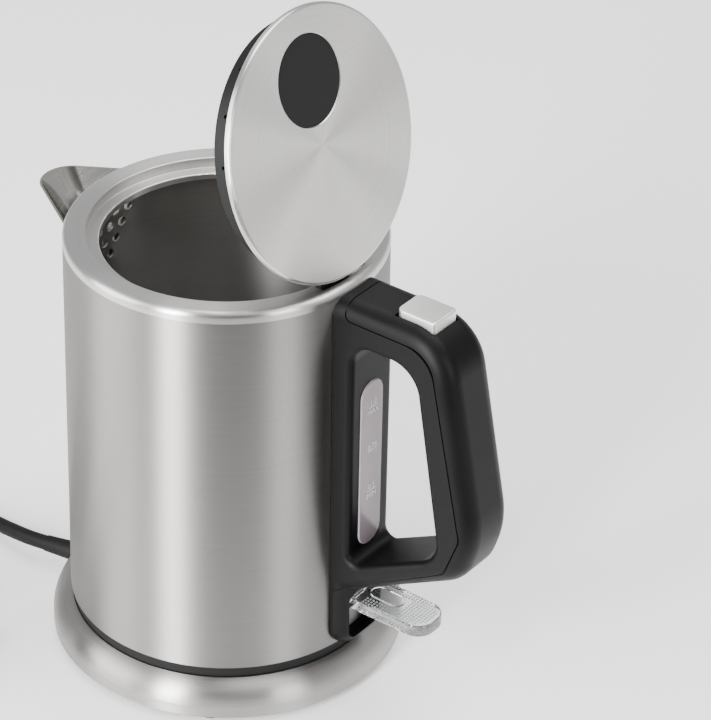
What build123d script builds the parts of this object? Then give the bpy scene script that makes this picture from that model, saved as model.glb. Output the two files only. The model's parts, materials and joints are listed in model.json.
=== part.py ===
"""Cordless electric kettle on a round base, as an assembly of its separate pieces.

Frame: millimetres, +Z up, origin on the base's axis at the table, +X towards the handle,
spout at -X. Every piece is written at the photographed pose: kettle on its base, lid open.
"""
import os
from math import cos, pi, radians, sin, sqrt, tan

from build123d import *

# Fits shared by neighbouring pieces
RUNNING_GAP = 0.3
PIN_CLEARANCE = 0.05
HAIRLINE = 0.1

# Base
FOOT_BEVEL = 0.6
SCREW_CROSS = (4.0, 0.8)
SCREW_CROSS_DEPTH = 0.6
FOOT_HEIGHT = 3.0
FOOT_RADIUS = 6.5
FOOT_INSET = 9.1
FOOT_COUNT = 4
FOOT_FIRST_ANGLE = -57.0
BASE_REACH = 7.6
BASE_SLOPE = 8.2
BASE_HEIGHT = 17.0
BASE_SKIRT = 5.0
BASE_WALL = 0.8
BASE_SHOULDER_INSET = 1.6
BASE_SHOULDER_DROP = 4.6
CHASSIS_THICKNESS = 2.0
DECK_THICKNESS = 2.4
BASE_SCREW_RADIUS = 2.0
BASE_SCREW_CIRCLE = 48.0

# Turning connector between base and kettle
TURRET_RADIUS = 18.0
TURRET_HEIGHT = 12.0
TURRET_SLOT_INNER = 7.5
TURRET_SLOT_OUTER = 14.0
TURRET_BORE = 4.0
SHUTTER_HEIGHT = 2.0
CONTACT_WIDTH = 3.0
CONNECTOR_RING_WALL = 1.2
CONNECTOR_PIN_RADIUS = 3.2
CONNECTOR_WALL = 2.0

# Body
BODY_BOTTOM = 22.2
BODY_TOP_RADIUS = 64.0
BODY_FLARE = 1.0
BODY_WALL = 0.8
RIM_TOP = 188.7
COLLAR_HEIGHT = 4.5
COLLAR_EDGE_ROUND = 2.4
COLLAR_WIDTH = 9.3
COLLAR_STEP = 4.4
COLLAR_LEDGE = 5.0
COLLAR_WALL = 1.0
COLLAR_LIP = 2.5
FLOOR_TOP = 57.0
FLOOR_THICKNESS = 1.0
SPREADER_THICKNESS = 2.5
SPREADER_RADIUS = 52.0
ELEMENT_RADIUS = 44.0
ELEMENT_TUBE_RADIUS = 3.3
ELEMENT_GAP_ANGLE = 50.0
ELEMENT_TAIL = 7.0
STEAM_TUBE_RADIUS = 4.5
STEAM_TUBE_WALL = 0.6
STEAM_TUBE_TOP = 165.0
STEAM_TUBE_ANGLE = 33.1
COVER_WALL = 2.0
COVER_SKIRT = 5.0
COVER_SCREW_CIRCLE = 36.0
COVER_POST = 8.0
COVER_SCREW_RADIUS = 1.8
CONTROL_SIZE = (44.0, 40.0)
CONTROL_SCREW_PLACE = 16.0

# Spout and filter
SPOUT_TIP_X = -93.0
SPOUT_RIM_Z = 180.0
SPOUT_TIP_ROUND = 13.0
SPOUT_SPLAY = 32.0
SPOUT_BACK_X = -30.0
SPOUT_UNDER_Z = 138.0
SPOUT_FOOT_APEX = 62.0
SPOUT_FOOT_ROUND = 2.0
SPOUT_WALL = 0.9
FILTER_HOLE_RADIUS = 2.0
FILTER_TOP = 169.6
FILTER_ROW_STEP = 6.2
FILTER_ROWS = 4
FILTER_COLUMN_ANGLE = 6.0
FILTER_TOP_COLUMNS = 5

# Handle
HANDLE_TOP = 186.2
HANDLE_HALF_WIDTH = 13.8
HANDLE_EDGE_ROUND = 7.5
HANDLE_SHELL = 3.4
PLATE_DEPTH = 7.7
PLATE_TOP_ROUND = 9.0
PLATE_SIDE_ROUND = 6.5
PLATE_CORNER_ROUND = 8.0
GRIP_TOP_CORNER = (114.6, 22.0)
GRIP_BACK = ((131.2, 101.0), 40.0)
GRIP_HEEL = ((124.6, 80.5), 18.0)
ARM_FOOT_Z = 47.2
WINDOW_TOP = 169.2
WINDOW_TOP_X = 100.6
WINDOW_HEEL = (114.4, 87.0)
WINDOW_FOOT_Z = 64.8
WINDOW_ROUNDS = (9.0, 13.0, 13.0, 4.0)
WINDOW_EDGE_ROUND = 3.0
COVER_START = 3.8
COVER_DEPTH = 7.0
COVER_GROOVE = 0.5
COVER_GROOVE_DEPTH = 1.5
GAUGE_HALF_WIDTH = 7.0
GAUGE_BOTTOM = 70.0
GAUGE_TOP = 146.8
GAUGE_PROUD = 0.6
GAUGE_DEPTH = 4.6
GAUGE_BORE_HALF_WIDTH = 3.2
GAUGE_BORE_DEPTH = 2.0
GAUGE_PORT_RADIUS = 2.0
GAUGE_PORT_INSET = 7.0
SEAL_RADIUS = 4.0
SEAL_THICKNESS = 1.4
HANDLE_SCREW_RADIUS = 1.75
HANDLE_SCREW_HEIGHTS = (52.2, 175.0)
HANDLE_SCREW_SPREAD = 9.0
HANDLE_SCREW_LENGTH = 5.0
HANDLE_SCREW_HEAD = 1.6

# Lid button and latch
BUTTON_START_X = 87.4
BUTTON_END_X = 105.4
BUTTON_HALF_WIDTH = 7.3
BUTTON_TOP = 189.0
BUTTON_FLOOR = 183.0
BUTTON_CORNER_ROUND = 3.0
BUTTON_GAP = 0.4
BUTTON_TRAVEL = 3.0
POCKET_FLOOR = 173.0
LATCH_HALF_WIDTH = 3.2
LATCH_BOTTOM = 176.6
LATCH_TOP = 179.6
LATCH_NOSE_BOTTOM = 181.0
LATCH_NOSE_TOP = 183.4
LATCH_NOSE_LENGTH = 14.0
LATCH_END_X = 96.2
BUTTON_SPRING_RADIUS = 2.6
BUTTON_SPRING_WIRE = 0.35
BUTTON_SPRING_TURNS = 5

# Switch
LEVER_TOP = 46.9
LEVER_THICKNESS = 5.0
LEVER_HALF_WIDTH = 9.2
LEVER_TIP_X = 105.8
LEVER_PIVOT = (68.4, 44.4)
LEVER_PIN_RADIUS = 1.5
LEVER_PIN_SEAT = 0.9
LEVER_HUB_RADIUS = 3.2
LEVER_TAIL_X = 57.6
LEVER_TAIL_HALF_WIDTH = 3.0
LEVER_BAR_HALF_WIDTH = 3.4
LEVER_BAR_HEIGHT = 0.9
LEVER_BAR_LENGTH = 15.5
LEVER_BAR_SETBACK = 15.8
LEVER_TIP_ROUND = 7.5
LEVER_EDGE_ROUND = 0.8
LEVER_TAIL_THICKNESS = 2.4
RECESS_HALF_WIDTH = 10.4
RECESS_BOTTOM = 26.5
RECESS_TOP = 49.2
RECESS_ROUND = 4.0
ROCKER_PIVOT = (52.0, 44.4)
ROCKER_PIN_RADIUS = 1.2
ROCKER_THICKNESS = 2.0
ROCKER_HALF_WIDTH = 3.0
ROCKER_HUB_RADIUS = 2.8
ROCKER_ARM = 7.0
ROCKER_EAR = 1.5

# Hinge and lid, drawn closed and swung open by LID_OPEN_ANGLE
LID_OPEN_ANGLE = 74.0
LID_GAP = 1.6
LID_PROUD = 1.4
LID_EDGE = 2.4
LID_SKIN = 0.8
LID_ROUND = 1.1
HINGE_INSET = 6.1
HINGE_Z = 185.0
HINGE_PIN_RADIUS = 1.1
BARREL_RADIUS = 2.2
BARREL_HALF_LENGTH = 13.0
HINGE_CHEEK = 3.0
NOTCH_INSET = 4.4
BRACKET_BACK = 2.6
BRACKET_FLOOR = 169.0
BRACKET_TOP = 181.0
CHEEK_REACH = 3.4
CHEEK_TOP = 187.4
BARREL_SPRING_SIDE = 3.0
ARM_HEIGHTS = (182.2, 184.5)
BARREL_NOTCH_DEPTH = 0.9
LID_SPRING_WIRE = 0.3
LID_SPRING_RADIUS = 1.75
LID_SPRING_TURNS = 9
INSERT_RADIUS = 17.5
INSERT_EDGE = 10.1
INSERT_THICKNESS = 1.6
INSERT_RECESS = 0.2
INSERT_BEVEL = 0.35
LID_FRAME_INSET = 4.9
LID_FRAME_DEPTH = 9.3
LID_FRAME_WALL = 2.0
LID_FRAME_NOTCHES = 16
LID_FRAME_NOTCH_SIZE = 1.4
INNER_PLATE_INSET = 3.0
INNER_PLATE_THICKNESS = 0.8
LID_SEAL_THICKNESS = 1.1
LID_SEAL_WIDTH = 3.0
LID_SCREW_RADIUS = 1.6
LID_SCREW_INSET = 8.0
LID_SCREW_COUNT = 3
LID_SCREW_HEAD = 1.2
LID_SCREW_LENGTH = 5.0

# Supply wires inside the kettle
WIRE_RADIUS = 1.2
WIRE_DROP = 5.0
WIRE_BEND = 2.2
WIRE_TUCK = 0.7

# Lead, coil and plug, which lie on the table
CORD_RADIUS = 3.2
GLAND_ANGLE = 192.0
GLAND_RADIUS = 5.0
GLAND_HEIGHT = 8.6
GLAND_OUT = 14.0
GLAND_NECK_RADIUS = 4.2
GLAND_TIP_RADIUS = 3.5
GLAND_IN = 14.0
CORD_FIRST_RUN = 7.5
CORD_POINTS = (
    (-99.5, -19.4, 7.9),
    (-110.0, -17.9, 6.0),
    (-123.0, -16.4, 4.6),
)
COIL_CENTRE = (-166.0, -58.0)
COIL_MIDDLE_RADIUS = 35.0
COIL_GAP = 2.2
COIL_TURNS = 1.0
COIL_STEPS = 12
COIL_START_ANGLE = 75.0
COIL_LIFT = 1.2
COIL_RUN_IN = 14.0
TIE_STEP = 9
TIE_WIDTH = 6.0
TIE_THICKNESS = 0.6
TIE_ROOM = 0.5
TAIL_POINTS = (
    (-152.2, -110.2, 14.8),
    (-137.0, -112.8, 16.8),
)
PLUG_ENTRY = (-108.0, -110.2, 18.0)
PLUG_ANGLE = 8.0
PLUG_NECK_RADIUS = 6.5
PLUG_NECK_LENGTH = 9.0
PLUG_RADIUS = 18.0
PLUG_LENGTH = 34.0
PLUG_ROUNDS = (0, 1.0, 6.0, 6.0, 1.2, 0)
PLUG_PIN_RADIUS = 2.4
PLUG_PIN_ROOT = 8.0
PLUG_PIN_BEVEL = 1.0
PLUG_PIN_LENGTH = 19.0
PLUG_PIN_SPACING = 19.0


# Sizes that follow from these
BODY_BOTTOM_RADIUS = BODY_TOP_RADIUS + BODY_FLARE
BASE_RADIUS = BODY_BOTTOM_RADIUS + BASE_REACH
BASE_LIP_RADIUS = BASE_RADIUS - BASE_SLOPE
FOOT_CIRCLE = BASE_RADIUS - FOOT_INSET
BODY_INNER_RADIUS = BODY_TOP_RADIUS - BODY_WALL
STEAM_TUBE_CIRCLE = (ELEMENT_RADIUS + ELEMENT_TUBE_RADIUS + BODY_INNER_RADIUS) / 2
STEAM_TUBE_PLACE = (
    STEAM_TUBE_CIRCLE * cos(radians(STEAM_TUBE_ANGLE)),
    STEAM_TUBE_CIRCLE * sin(radians(STEAM_TUBE_ANGLE)),
)
COLLAR_INNER_RADIUS = BODY_TOP_RADIUS - COLLAR_WIDTH
PLATE_FACE_X = BODY_TOP_RADIUS + PLATE_DEPTH
PLATE_HALF_WIDTH = HANDLE_HALF_WIDTH
COVER_START_X = BODY_TOP_RADIUS + COVER_START
HINGE_X = BODY_TOP_RADIUS - HINGE_INSET
CHEEK_START_X = HINGE_X - CHEEK_REACH
NOTCH_RADIUS = BODY_TOP_RADIUS - NOTCH_INSET
NOTCH_HALF_WIDTH = BARREL_HALF_LENGTH + 2 * RUNNING_GAP
LID_RADIUS = COLLAR_INNER_RADIUS - LID_GAP
LID_TOP = RIM_TOP + LID_PROUD
INSERT_OFFSET = LID_RADIUS - INSERT_EDGE - INSERT_RADIUS
LID_FRAME_RADIUS = LID_RADIUS - LID_FRAME_INSET
INNER_PLATE_RADIUS = LID_FRAME_RADIUS - INNER_PLATE_INSET
LID_SCREW_CIRCLE = INNER_PLATE_RADIUS - LID_SCREW_INSET


# Shared shapes
def turned(*points):
    """Solid of revolution about Z from (radius, height) points."""
    return revolve(Plane.XZ * make_face(Polyline(*points, close=True)), Axis.Z)


def disc(radius, bottom, top, x=0.0, y=0.0):
    """Upright cylinder between two heights."""
    return Pos(x, y, (bottom + top) / 2) * Cylinder(radius, top - bottom)


def block(x, y, z):
    """Box from its (low, high) ranges."""
    size = [high - low for low, high in (x, y, z)]
    middle = [(high + low) / 2 for low, high in (x, y, z)]
    return Pos(*middle) * Box(*size)


def across(outline, half_width):
    """Extrude an outline drawn in (x, z) to both sides of the middle plane."""
    return extrude(Plane.XZ * make_face(outline), amount=half_width, both=True)


def rod_y(radius, x, z, low, high):
    """Cylinder along Y."""
    return Pos(x, (low + high) / 2, z) * Rot(90, 0, 0) * Cylinder(radius, high - low)


def rod_x(radius, y, z, low, high):
    """Cylinder along X."""
    return Pos((low + high) / 2, y, z) * Rot(0, 90, 0) * Cylinder(radius, high - low)


def around(count, radius, first=0.0):
    """Places evenly spaced on a circle about Z."""
    return [Rot(0, 0, first + 360 * i / count) * Pos(radius, 0, 0) for i in range(count)]


def body_radius(height):
    """Outer radius of the tapered wall at a height."""
    share = (height - BODY_BOTTOM) / (RIM_TOP - BODY_BOTTOM)
    return BODY_BOTTOM_RADIUS + share * (BODY_TOP_RADIUS - BODY_BOTTOM_RADIUS)


def body_solid(offset, low, high):
    """The tapered wall's outer surface as a solid, moved out by an offset."""
    return turned((0, low), (body_radius(low) + offset, low), (body_radius(high) + offset, high), (0, high))


def helix_points(radius, length, turns, steps=4):
    """Points on a helix about Z, `steps` for each turn."""
    count = round(turns * steps)
    return [
        Vector(radius * cos(2 * pi * i / steps), radius * sin(2 * pi * i / steps), length * i / count)
        for i in range(count + 1)
    ]


def arc_chain(points, tangent):
    """Tangent arcs through points, starting along a tangent."""
    edges = []
    for start, end in zip(points, points[1:]):
        edge = Edge.make_tangent_arc(start, tangent, end)
        tangent = edge % 1
        edges.append(edge)
    return Wire(edges)


def coil_spring(radius, wire, length, turns, steps=4):
    """Round-wire coil about Z, of tangent quarter-turn arcs."""
    points = helix_points(radius, length, turns, steps)
    half = pi / steps
    chord = points[1] - points[0]
    climb = chord.Z / (2 * radius * sin(half)) * cos(half)
    path = arc_chain(points, Vector(0, 1, climb))
    section = Plane(origin=path @ 0, z_dir=path % 0) * Circle(wire)
    return sweep(section, path=path)


# Base
SHELL_BOTTOM = FOOT_HEIGHT
CHASSIS_TOP = FOOT_HEIGHT + CHASSIS_THICKNESS
DECK_TOP = BASE_HEIGHT + RUNNING_GAP
DECK_BOTTOM = DECK_TOP - DECK_THICKNESS
DECK_RADIUS = BASE_LIP_RADIUS - HAIRLINE
TURRET_TOP = DECK_TOP + TURRET_HEIGHT


def base_outline(inset):
    """Half section of the base ring's outside, moved in by an inset."""
    skirt_top = (BASE_RADIUS - inset, SHELL_BOTTOM + BASE_SKIRT)
    lip = (BASE_LIP_RADIUS, BASE_HEIGHT - inset)
    shoulder = (BASE_RADIUS - inset - BASE_SHOULDER_INSET, BASE_HEIGHT - inset - BASE_SHOULDER_DROP)
    return skirt_top, shoulder, lip


def gland_place(distance):
    """Point on the lead's exit line, at a distance from the base's axis."""
    angle = radians(GLAND_ANGLE)
    return Vector(distance * cos(angle), distance * sin(angle), GLAND_HEIGHT)


def gland_rod(radius, start, end):
    """Cylinder along the lead's exit line."""
    direction = gland_place(1) - gland_place(0)
    middle = Plane(origin=gland_place((start + end) / 2), z_dir=direction)
    return middle * Cylinder(radius, end - start)


def base_shell():
    outer = base_outline(0)
    inner = base_outline(BASE_WALL)
    outside = Line((BASE_RADIUS, SHELL_BOTTOM), outer[0]) + ThreePointArc(*outer)
    inside = ThreePointArc(*reversed(inner)) + Line(inner[0], (inner[0][0], SHELL_BOTTOM))
    joins = Line(outer[2], inner[2]) + Line((inner[0][0], SHELL_BOTTOM), (BASE_RADIUS, SHELL_BOTTOM))
    ring = revolve(Plane.XZ * make_face(outside + inside + joins), Axis.Z)
    return ring - gland_rod(GLAND_RADIUS, saddle_start(), BASE_RADIUS + GLAND_OUT)


def chassis_radius():
    return BASE_RADIUS - BASE_WALL - HAIRLINE


def base_chassis():
    plate = disc(chassis_radius(), FOOT_HEIGHT, CHASSIS_TOP)
    bosses = [place * disc(BASE_SCREW_RADIUS * 2, CHASSIS_TOP, DECK_BOTTOM) for place in base_screw_places()]
    screws = [place * screw_room() for place in base_screw_places()]
    saddle = gland_saddle()
    return plate + bosses + saddle - screws - gland_rod(GLAND_RADIUS, saddle_start(), BASE_RADIUS)


def saddle_start():
    """Inner end of the strain relief."""
    return BASE_RADIUS - GLAND_IN


def gland_saddle():
    """Block under the strain relief, part of the chassis."""
    length = GLAND_IN - BASE_WALL - 4 * HAIRLINE - BASE_SKIRT
    middle = saddle_start() + length / 2
    shape = Pos(middle, 0, (CHASSIS_TOP + GLAND_HEIGHT) / 2)
    return Rot(0, 0, GLAND_ANGLE) * shape * Box(length, 4 * GLAND_RADIUS, GLAND_HEIGHT - CHASSIS_TOP)


def base_screw_places():
    return around(FOOT_COUNT, BASE_SCREW_CIRCLE, FOOT_FIRST_ANGLE)


def screw_room():
    """Through hole and head recess for a base screw."""
    shank = disc(BASE_SCREW_RADIUS, FOOT_HEIGHT, DECK_TOP)
    return shank + disc(BASE_SCREW_RADIUS * 1.8, FOOT_HEIGHT, FOOT_HEIGHT + CHASSIS_THICKNESS * 0.6)


def base_screws():
    head = disc(BASE_SCREW_RADIUS * 1.8, FOOT_HEIGHT, FOOT_HEIGHT + CHASSIS_THICKNESS * 0.6)
    screw = head + disc(BASE_SCREW_RADIUS, FOOT_HEIGHT, DECK_TOP - DECK_THICKNESS / 2)
    depth = (0, FOOT_HEIGHT + SCREW_CROSS_DEPTH)
    long, thin = ((-size / 2, size / 2) for size in SCREW_CROSS)
    cross = block(thin, long, depth) + block(long, thin, depth)
    return Compound([place * (screw - cross) for place in base_screw_places()])


def base_feet():
    foot = disc(FOOT_RADIUS, 0, FOOT_HEIGHT)
    foot = chamfer(foot.edges().group_by(Axis.Z)[0], FOOT_BEVEL)
    return Compound([place * foot for place in around(FOOT_COUNT, FOOT_CIRCLE, FOOT_FIRST_ANGLE)])


def base_deck():
    plate = disc(DECK_RADIUS, DECK_BOTTOM, DECK_TOP) - disc(TURRET_RADIUS, DECK_BOTTOM, DECK_TOP)
    holes = [
        place * disc(BASE_SCREW_RADIUS, DECK_BOTTOM, DECK_TOP - DECK_THICKNESS / 2)
        for place in base_screw_places()
    ]
    return plate - holes


def base_socket():
    turret = disc(TURRET_RADIUS, CHASSIS_TOP, TURRET_TOP)
    slot = disc(TURRET_SLOT_OUTER, DECK_BOTTOM, TURRET_TOP) - disc(TURRET_SLOT_INNER, DECK_BOTTOM, TURRET_TOP)
    return turret - slot - disc(TURRET_BORE, DECK_BOTTOM, TURRET_TOP) - contact_blades()


def contact_blades():
    """Spring blades set into the outer wall of the socket's slot."""
    blade = block(
        (TURRET_SLOT_OUTER, TURRET_SLOT_OUTER + 1),
        (-CONTACT_WIDTH, CONTACT_WIDTH),
        (DECK_TOP + 3, TURRET_TOP - 2),
    )
    return Compound([Rot(0, 0, angle) * blade for angle in (90, 270)])


def socket_contacts():
    slot = disc(TURRET_SLOT_OUTER, DECK_BOTTOM, TURRET_TOP)
    return Compound([blade - slot for blade in contact_blades().solids()])


def socket_shutter():
    outer = TURRET_SLOT_OUTER - RUNNING_GAP
    inner = TURRET_SLOT_INNER + RUNNING_GAP
    bottom = DECK_BOTTOM + RUNNING_GAP
    return disc(outer, bottom, bottom + SHUTTER_HEIGHT) - disc(inner, bottom, bottom + SHUTTER_HEIGHT)


def cord_gland():
    """Strain relief: held in the base, and tapered outside it."""
    held = gland_rod(GLAND_RADIUS, saddle_start(), BASE_RADIUS)
    direction = gland_place(1) - gland_place(0)
    middle = Plane(origin=gland_place(BASE_RADIUS + GLAND_OUT / 2), z_dir=direction)
    return held + middle * Cone(GLAND_NECK_RADIUS, GLAND_TIP_RADIUS, GLAND_OUT)


def cord_clamp():
    """Bridge that holds the strain relief down on the chassis."""
    length = GLAND_IN - BASE_WALL - 4 * HAIRLINE - BASE_SKIRT
    top = min(GLAND_HEIGHT + GLAND_RADIUS + 1.0, DECK_BOTTOM - HAIRLINE)
    shape = Pos(saddle_start() + length / 2, 0, (GLAND_HEIGHT + top) / 2)
    bridge = Rot(0, 0, GLAND_ANGLE) * shape * Box(length, 4 * GLAND_RADIUS, top - GLAND_HEIGHT)
    return bridge - gland_rod(GLAND_RADIUS, saddle_start(), BASE_RADIUS)


# Kettle body
SEAM_Z = RIM_TOP - COLLAR_HEIGHT
COVER_BOTTOM = DECK_TOP + RUNNING_GAP
COVER_RADIUS = BODY_BOTTOM_RADIUS - BODY_WALL - HAIRLINE
FLOOR_BOTTOM = FLOOR_TOP - FLOOR_THICKNESS
SPREADER_BOTTOM = FLOOR_BOTTOM - SPREADER_THICKNESS
ELEMENT_Z = SPREADER_BOTTOM - ELEMENT_TUBE_RADIUS
CONNECTOR_INNER = TURRET_RADIUS + 2 * RUNNING_GAP
CONNECTOR_TOP = TURRET_TOP + 2 * RUNNING_GAP + CONNECTOR_WALL
CONTROL_TOP = ELEMENT_Z - ELEMENT_TUBE_RADIUS - 2.0


def filter_holes():
    """Staggered rows of round holes in the wall behind the spout, each one hole shorter."""
    holes = []
    for row in range(FILTER_ROWS):
        columns = FILTER_TOP_COLUMNS - row
        for column in range(columns):
            angle = 180 + FILTER_COLUMN_ANGLE * (column - (columns - 1) / 2)
            height = FILTER_TOP - row * FILTER_ROW_STEP
            rod = rod_x(FILTER_HOLE_RADIUS, 0, height, BODY_TOP_RADIUS - 6, BODY_BOTTOM_RADIUS + 6)
            holes.append(Rot(0, 0, angle) * rod)
    return holes


def body_shell():
    wall = turned(
        (body_radius(BODY_BOTTOM), BODY_BOTTOM),
        (body_radius(SEAM_Z), SEAM_Z),
        (body_radius(SEAM_Z) - BODY_WALL, SEAM_Z),
        (body_radius(BODY_BOTTOM) - BODY_WALL, BODY_BOTTOM),
    )
    ports = [gauge_port(z, GAUGE_PORT_RADIUS + SEAL_THICKNESS / 2) for z in gauge_port_heights()]
    latch_slot = block(
        (HINGE_X, PLATE_FACE_X),
        (-LATCH_HALF_WIDTH - BUTTON_GAP, LATCH_HALF_WIDTH + BUTTON_GAP),
        (LATCH_NOSE_BOTTOM - BUTTON_GAP, SEAM_Z),
    )
    lever_slot = block(
        (ROCKER_PIVOT[0], PLATE_FACE_X),
        (-LEVER_TAIL_HALF_WIDTH - 1, LEVER_TAIL_HALF_WIDTH + 1),
        (LEVER_PIVOT[1] - LEVER_HUB_RADIUS - 1, LEVER_PIVOT[1] + LEVER_HUB_RADIUS + 1.5),
    )
    return wall - filter_holes() - ports - latch_slot - lever_slot - handle_screw_shanks()


def rim_collar():
    outer = body_radius(SEAM_Z)
    step = RIM_TOP - COLLAR_STEP
    lip = COLLAR_INNER_RADIUS - COLLAR_LEDGE
    outline = FilletPolyline(
        (outer, SEAM_Z),
        (outer, RIM_TOP),
        (COLLAR_INNER_RADIUS, RIM_TOP),
        (COLLAR_INNER_RADIUS, step),
        (lip, step),
        (lip, step - COLLAR_LIP),
        (lip + COLLAR_WALL, step - COLLAR_LIP),
        (lip + COLLAR_WALL, step - COLLAR_WALL),
        (COLLAR_INNER_RADIUS + COLLAR_WALL, step - COLLAR_WALL),
        (COLLAR_INNER_RADIUS + COLLAR_WALL, RIM_TOP - COLLAR_WALL),
        (outer - COLLAR_WALL, RIM_TOP - COLLAR_WALL),
        (outer - COLLAR_WALL, SEAM_Z),
        radius=[0, COLLAR_EDGE_ROUND, 0.5, 0.4, 0.5, 0, 0, 0, 0, 0, COLLAR_EDGE_ROUND - COLLAR_WALL, 0],
        close=True,
    )
    ring = revolve(Plane.XZ * make_face(outline), Axis.Z)
    return ring - hinge_notch()


def hinge_notch():
    """Gap in the collar for the hinge, inside its outer edge."""
    room = disc(NOTCH_RADIUS, BRACKET_FLOOR, RIM_TOP + 1)
    room &= block((0, BODY_TOP_RADIUS), (-NOTCH_HALF_WIDTH, NOTCH_HALF_WIDTH), (BRACKET_FLOOR, RIM_TOP + 1))
    return room - disc(COLLAR_INNER_RADIUS - COLLAR_LEDGE - 1, BRACKET_FLOOR, RIM_TOP + 1)


def floor_plate():
    radius = body_radius(FLOOR_TOP) - BODY_WALL - HAIRLINE
    plate = disc(radius, FLOOR_BOTTOM, FLOOR_TOP)
    lip = disc(radius, FLOOR_TOP, FLOOR_TOP + 4) - disc(radius - FLOOR_THICKNESS, FLOOR_TOP, FLOOR_TOP + 4)
    return plate + lip - disc(STEAM_TUBE_RADIUS, FLOOR_BOTTOM, FLOOR_TOP, *STEAM_TUBE_PLACE)


def heat_spreader():
    plate = disc(SPREADER_RADIUS, SPREADER_BOTTOM, FLOOR_BOTTOM)
    boss = disc(COVER_SCREW_RADIUS * 2, cover_post_top(), SPREADER_BOTTOM)
    bosses = [place * boss for place in cover_screw_places()]
    bore = disc(COVER_SCREW_RADIUS, cover_post_top(), cover_screw_end())
    bores = [place * bore for place in cover_screw_places()]
    return plate + bosses - bores - disc(STEAM_TUBE_RADIUS, SPREADER_BOTTOM, FLOOR_BOTTOM, *STEAM_TUBE_PLACE)


def heating_element():
    """Sheathed ring under the spreader, with two cold tails turned down."""
    start = 180 + ELEMENT_GAP_ANGLE / 2
    path = CenterArc((0, 0, ELEMENT_Z), ELEMENT_RADIUS, start, 360 - ELEMENT_GAP_ANGLE)
    ring = sweep(Plane(origin=path @ 0, z_dir=path % 0) * Circle(ELEMENT_TUBE_RADIUS), path=path)
    ends = [path @ t for t in (0, 1)]
    tails = [disc(ELEMENT_TUBE_RADIUS / 2, ELEMENT_Z - ELEMENT_TAIL, ELEMENT_Z, p.X, p.Y) for p in ends]
    return ring + tails


def control_unit():
    body = block(
        (-CONTROL_SIZE[0] / 2, CONTROL_SIZE[0] / 2),
        (-CONTROL_SIZE[1] / 2, CONTROL_SIZE[1] / 2),
        (CONNECTOR_TOP, CONTROL_TOP),
    )
    body = fillet(body.edges().filter_by(Axis.Z), 5)
    posts = [disc(3.0, CONTROL_TOP, SPREADER_BOTTOM, x, y) for x, y in control_screw_places()]
    holes = [disc(BASE_SCREW_RADIUS, CONNECTOR_TOP, SPREADER_BOTTOM, x, y) for x, y in control_screw_places()]
    end = ROCKER_PIVOT[0]
    ear = rocker_ear_end()
    arm = block((CONTROL_SIZE[0] / 2, end), (-ear, ear), rocker_arm_heights())
    arm -= block((end - ROCKER_ARM - 2, end), (-rocker_room(), rocker_room()), (0, FLOOR_TOP))
    ears = rod_y(ROCKER_HUB_RADIUS, *ROCKER_PIVOT, -rocker_ear_end(), rocker_ear_end()) - block(
        (0, BODY_TOP_RADIUS), (-rocker_room(), rocker_room()), (0, FLOOR_TOP)
    )
    return body + posts + arm + ears - holes - rocker_pin()


def control_screw_places():
    return [(x, y) for x in (-CONTROL_SCREW_PLACE, CONTROL_SCREW_PLACE) for y in (0.0,)]


def control_screws():
    screw = disc(BASE_SCREW_RADIUS, CONNECTOR_TOP + 3, SPREADER_BOTTOM) + disc(
        BASE_SCREW_RADIUS, CONNECTOR_TOP, CONNECTOR_TOP + 3
    )
    return Compound([Pos(x, y, 0) * screw for x, y in control_screw_places()])


def kettle_connector():
    outer = CONNECTOR_INNER + CONNECTOR_WALL
    cup = disc(outer, COVER_BOTTOM, CONNECTOR_TOP)
    cup -= disc(CONNECTOR_INNER, COVER_BOTTOM, CONNECTOR_TOP - CONNECTOR_WALL)
    return cup - disc(CONNECTOR_PIN_RADIUS, 0, CONNECTOR_TOP)


def connector_contacts():
    """Centre pin and contact ring that enter the socket."""
    low = DECK_BOTTOM + RUNNING_GAP + SHUTTER_HEIGHT + 2 * RUNNING_GAP
    ceiling = CONNECTOR_TOP - CONNECTOR_WALL
    middle = (TURRET_SLOT_INNER + TURRET_SLOT_OUTER) / 2
    half_wall = CONNECTOR_RING_WALL / 2
    ring = disc(middle + half_wall, low, ceiling) - disc(middle - half_wall, low, ceiling)
    return Compound([disc(CONNECTOR_PIN_RADIUS, low, CONNECTOR_TOP), ring])


def cover_post_top():
    return COVER_BOTTOM + COVER_POST


def cover_screw_end():
    return cover_post_top() + COVER_POST


def bottom_cover():
    cup = disc(COVER_RADIUS, COVER_BOTTOM, BODY_BOTTOM + COVER_SKIRT) - disc(
        COVER_RADIUS - COVER_WALL, COVER_BOTTOM + COVER_WALL, BODY_BOTTOM + COVER_SKIRT
    )
    post = disc(COVER_SCREW_RADIUS * 2, COVER_BOTTOM, cover_post_top())
    posts = [place * post for place in cover_screw_places()]
    socket = disc(CONNECTOR_INNER + CONNECTOR_WALL, COVER_BOTTOM, CONNECTOR_TOP)
    return cup + posts - [place * cover_screw() for place in cover_screw_places()] - socket


def cover_screw_places():
    return around(3, COVER_SCREW_CIRCLE, 60)


def cover_screw():
    head = disc(COVER_SCREW_RADIUS * 1.6, COVER_BOTTOM, COVER_BOTTOM + COVER_WALL)
    return head + disc(COVER_SCREW_RADIUS, COVER_BOTTOM + COVER_WALL, cover_screw_end())


def bottom_screws():
    return Compound([place * cover_screw() for place in cover_screw_places()])


def steam_tube():
    low = CONTROL_TOP - 4
    x, y = STEAM_TUBE_PLACE
    return disc(STEAM_TUBE_RADIUS, low, STEAM_TUBE_TOP, x, y) - disc(
        STEAM_TUBE_RADIUS - STEAM_TUBE_WALL, low, STEAM_TUBE_TOP, x, y
    )


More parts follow.
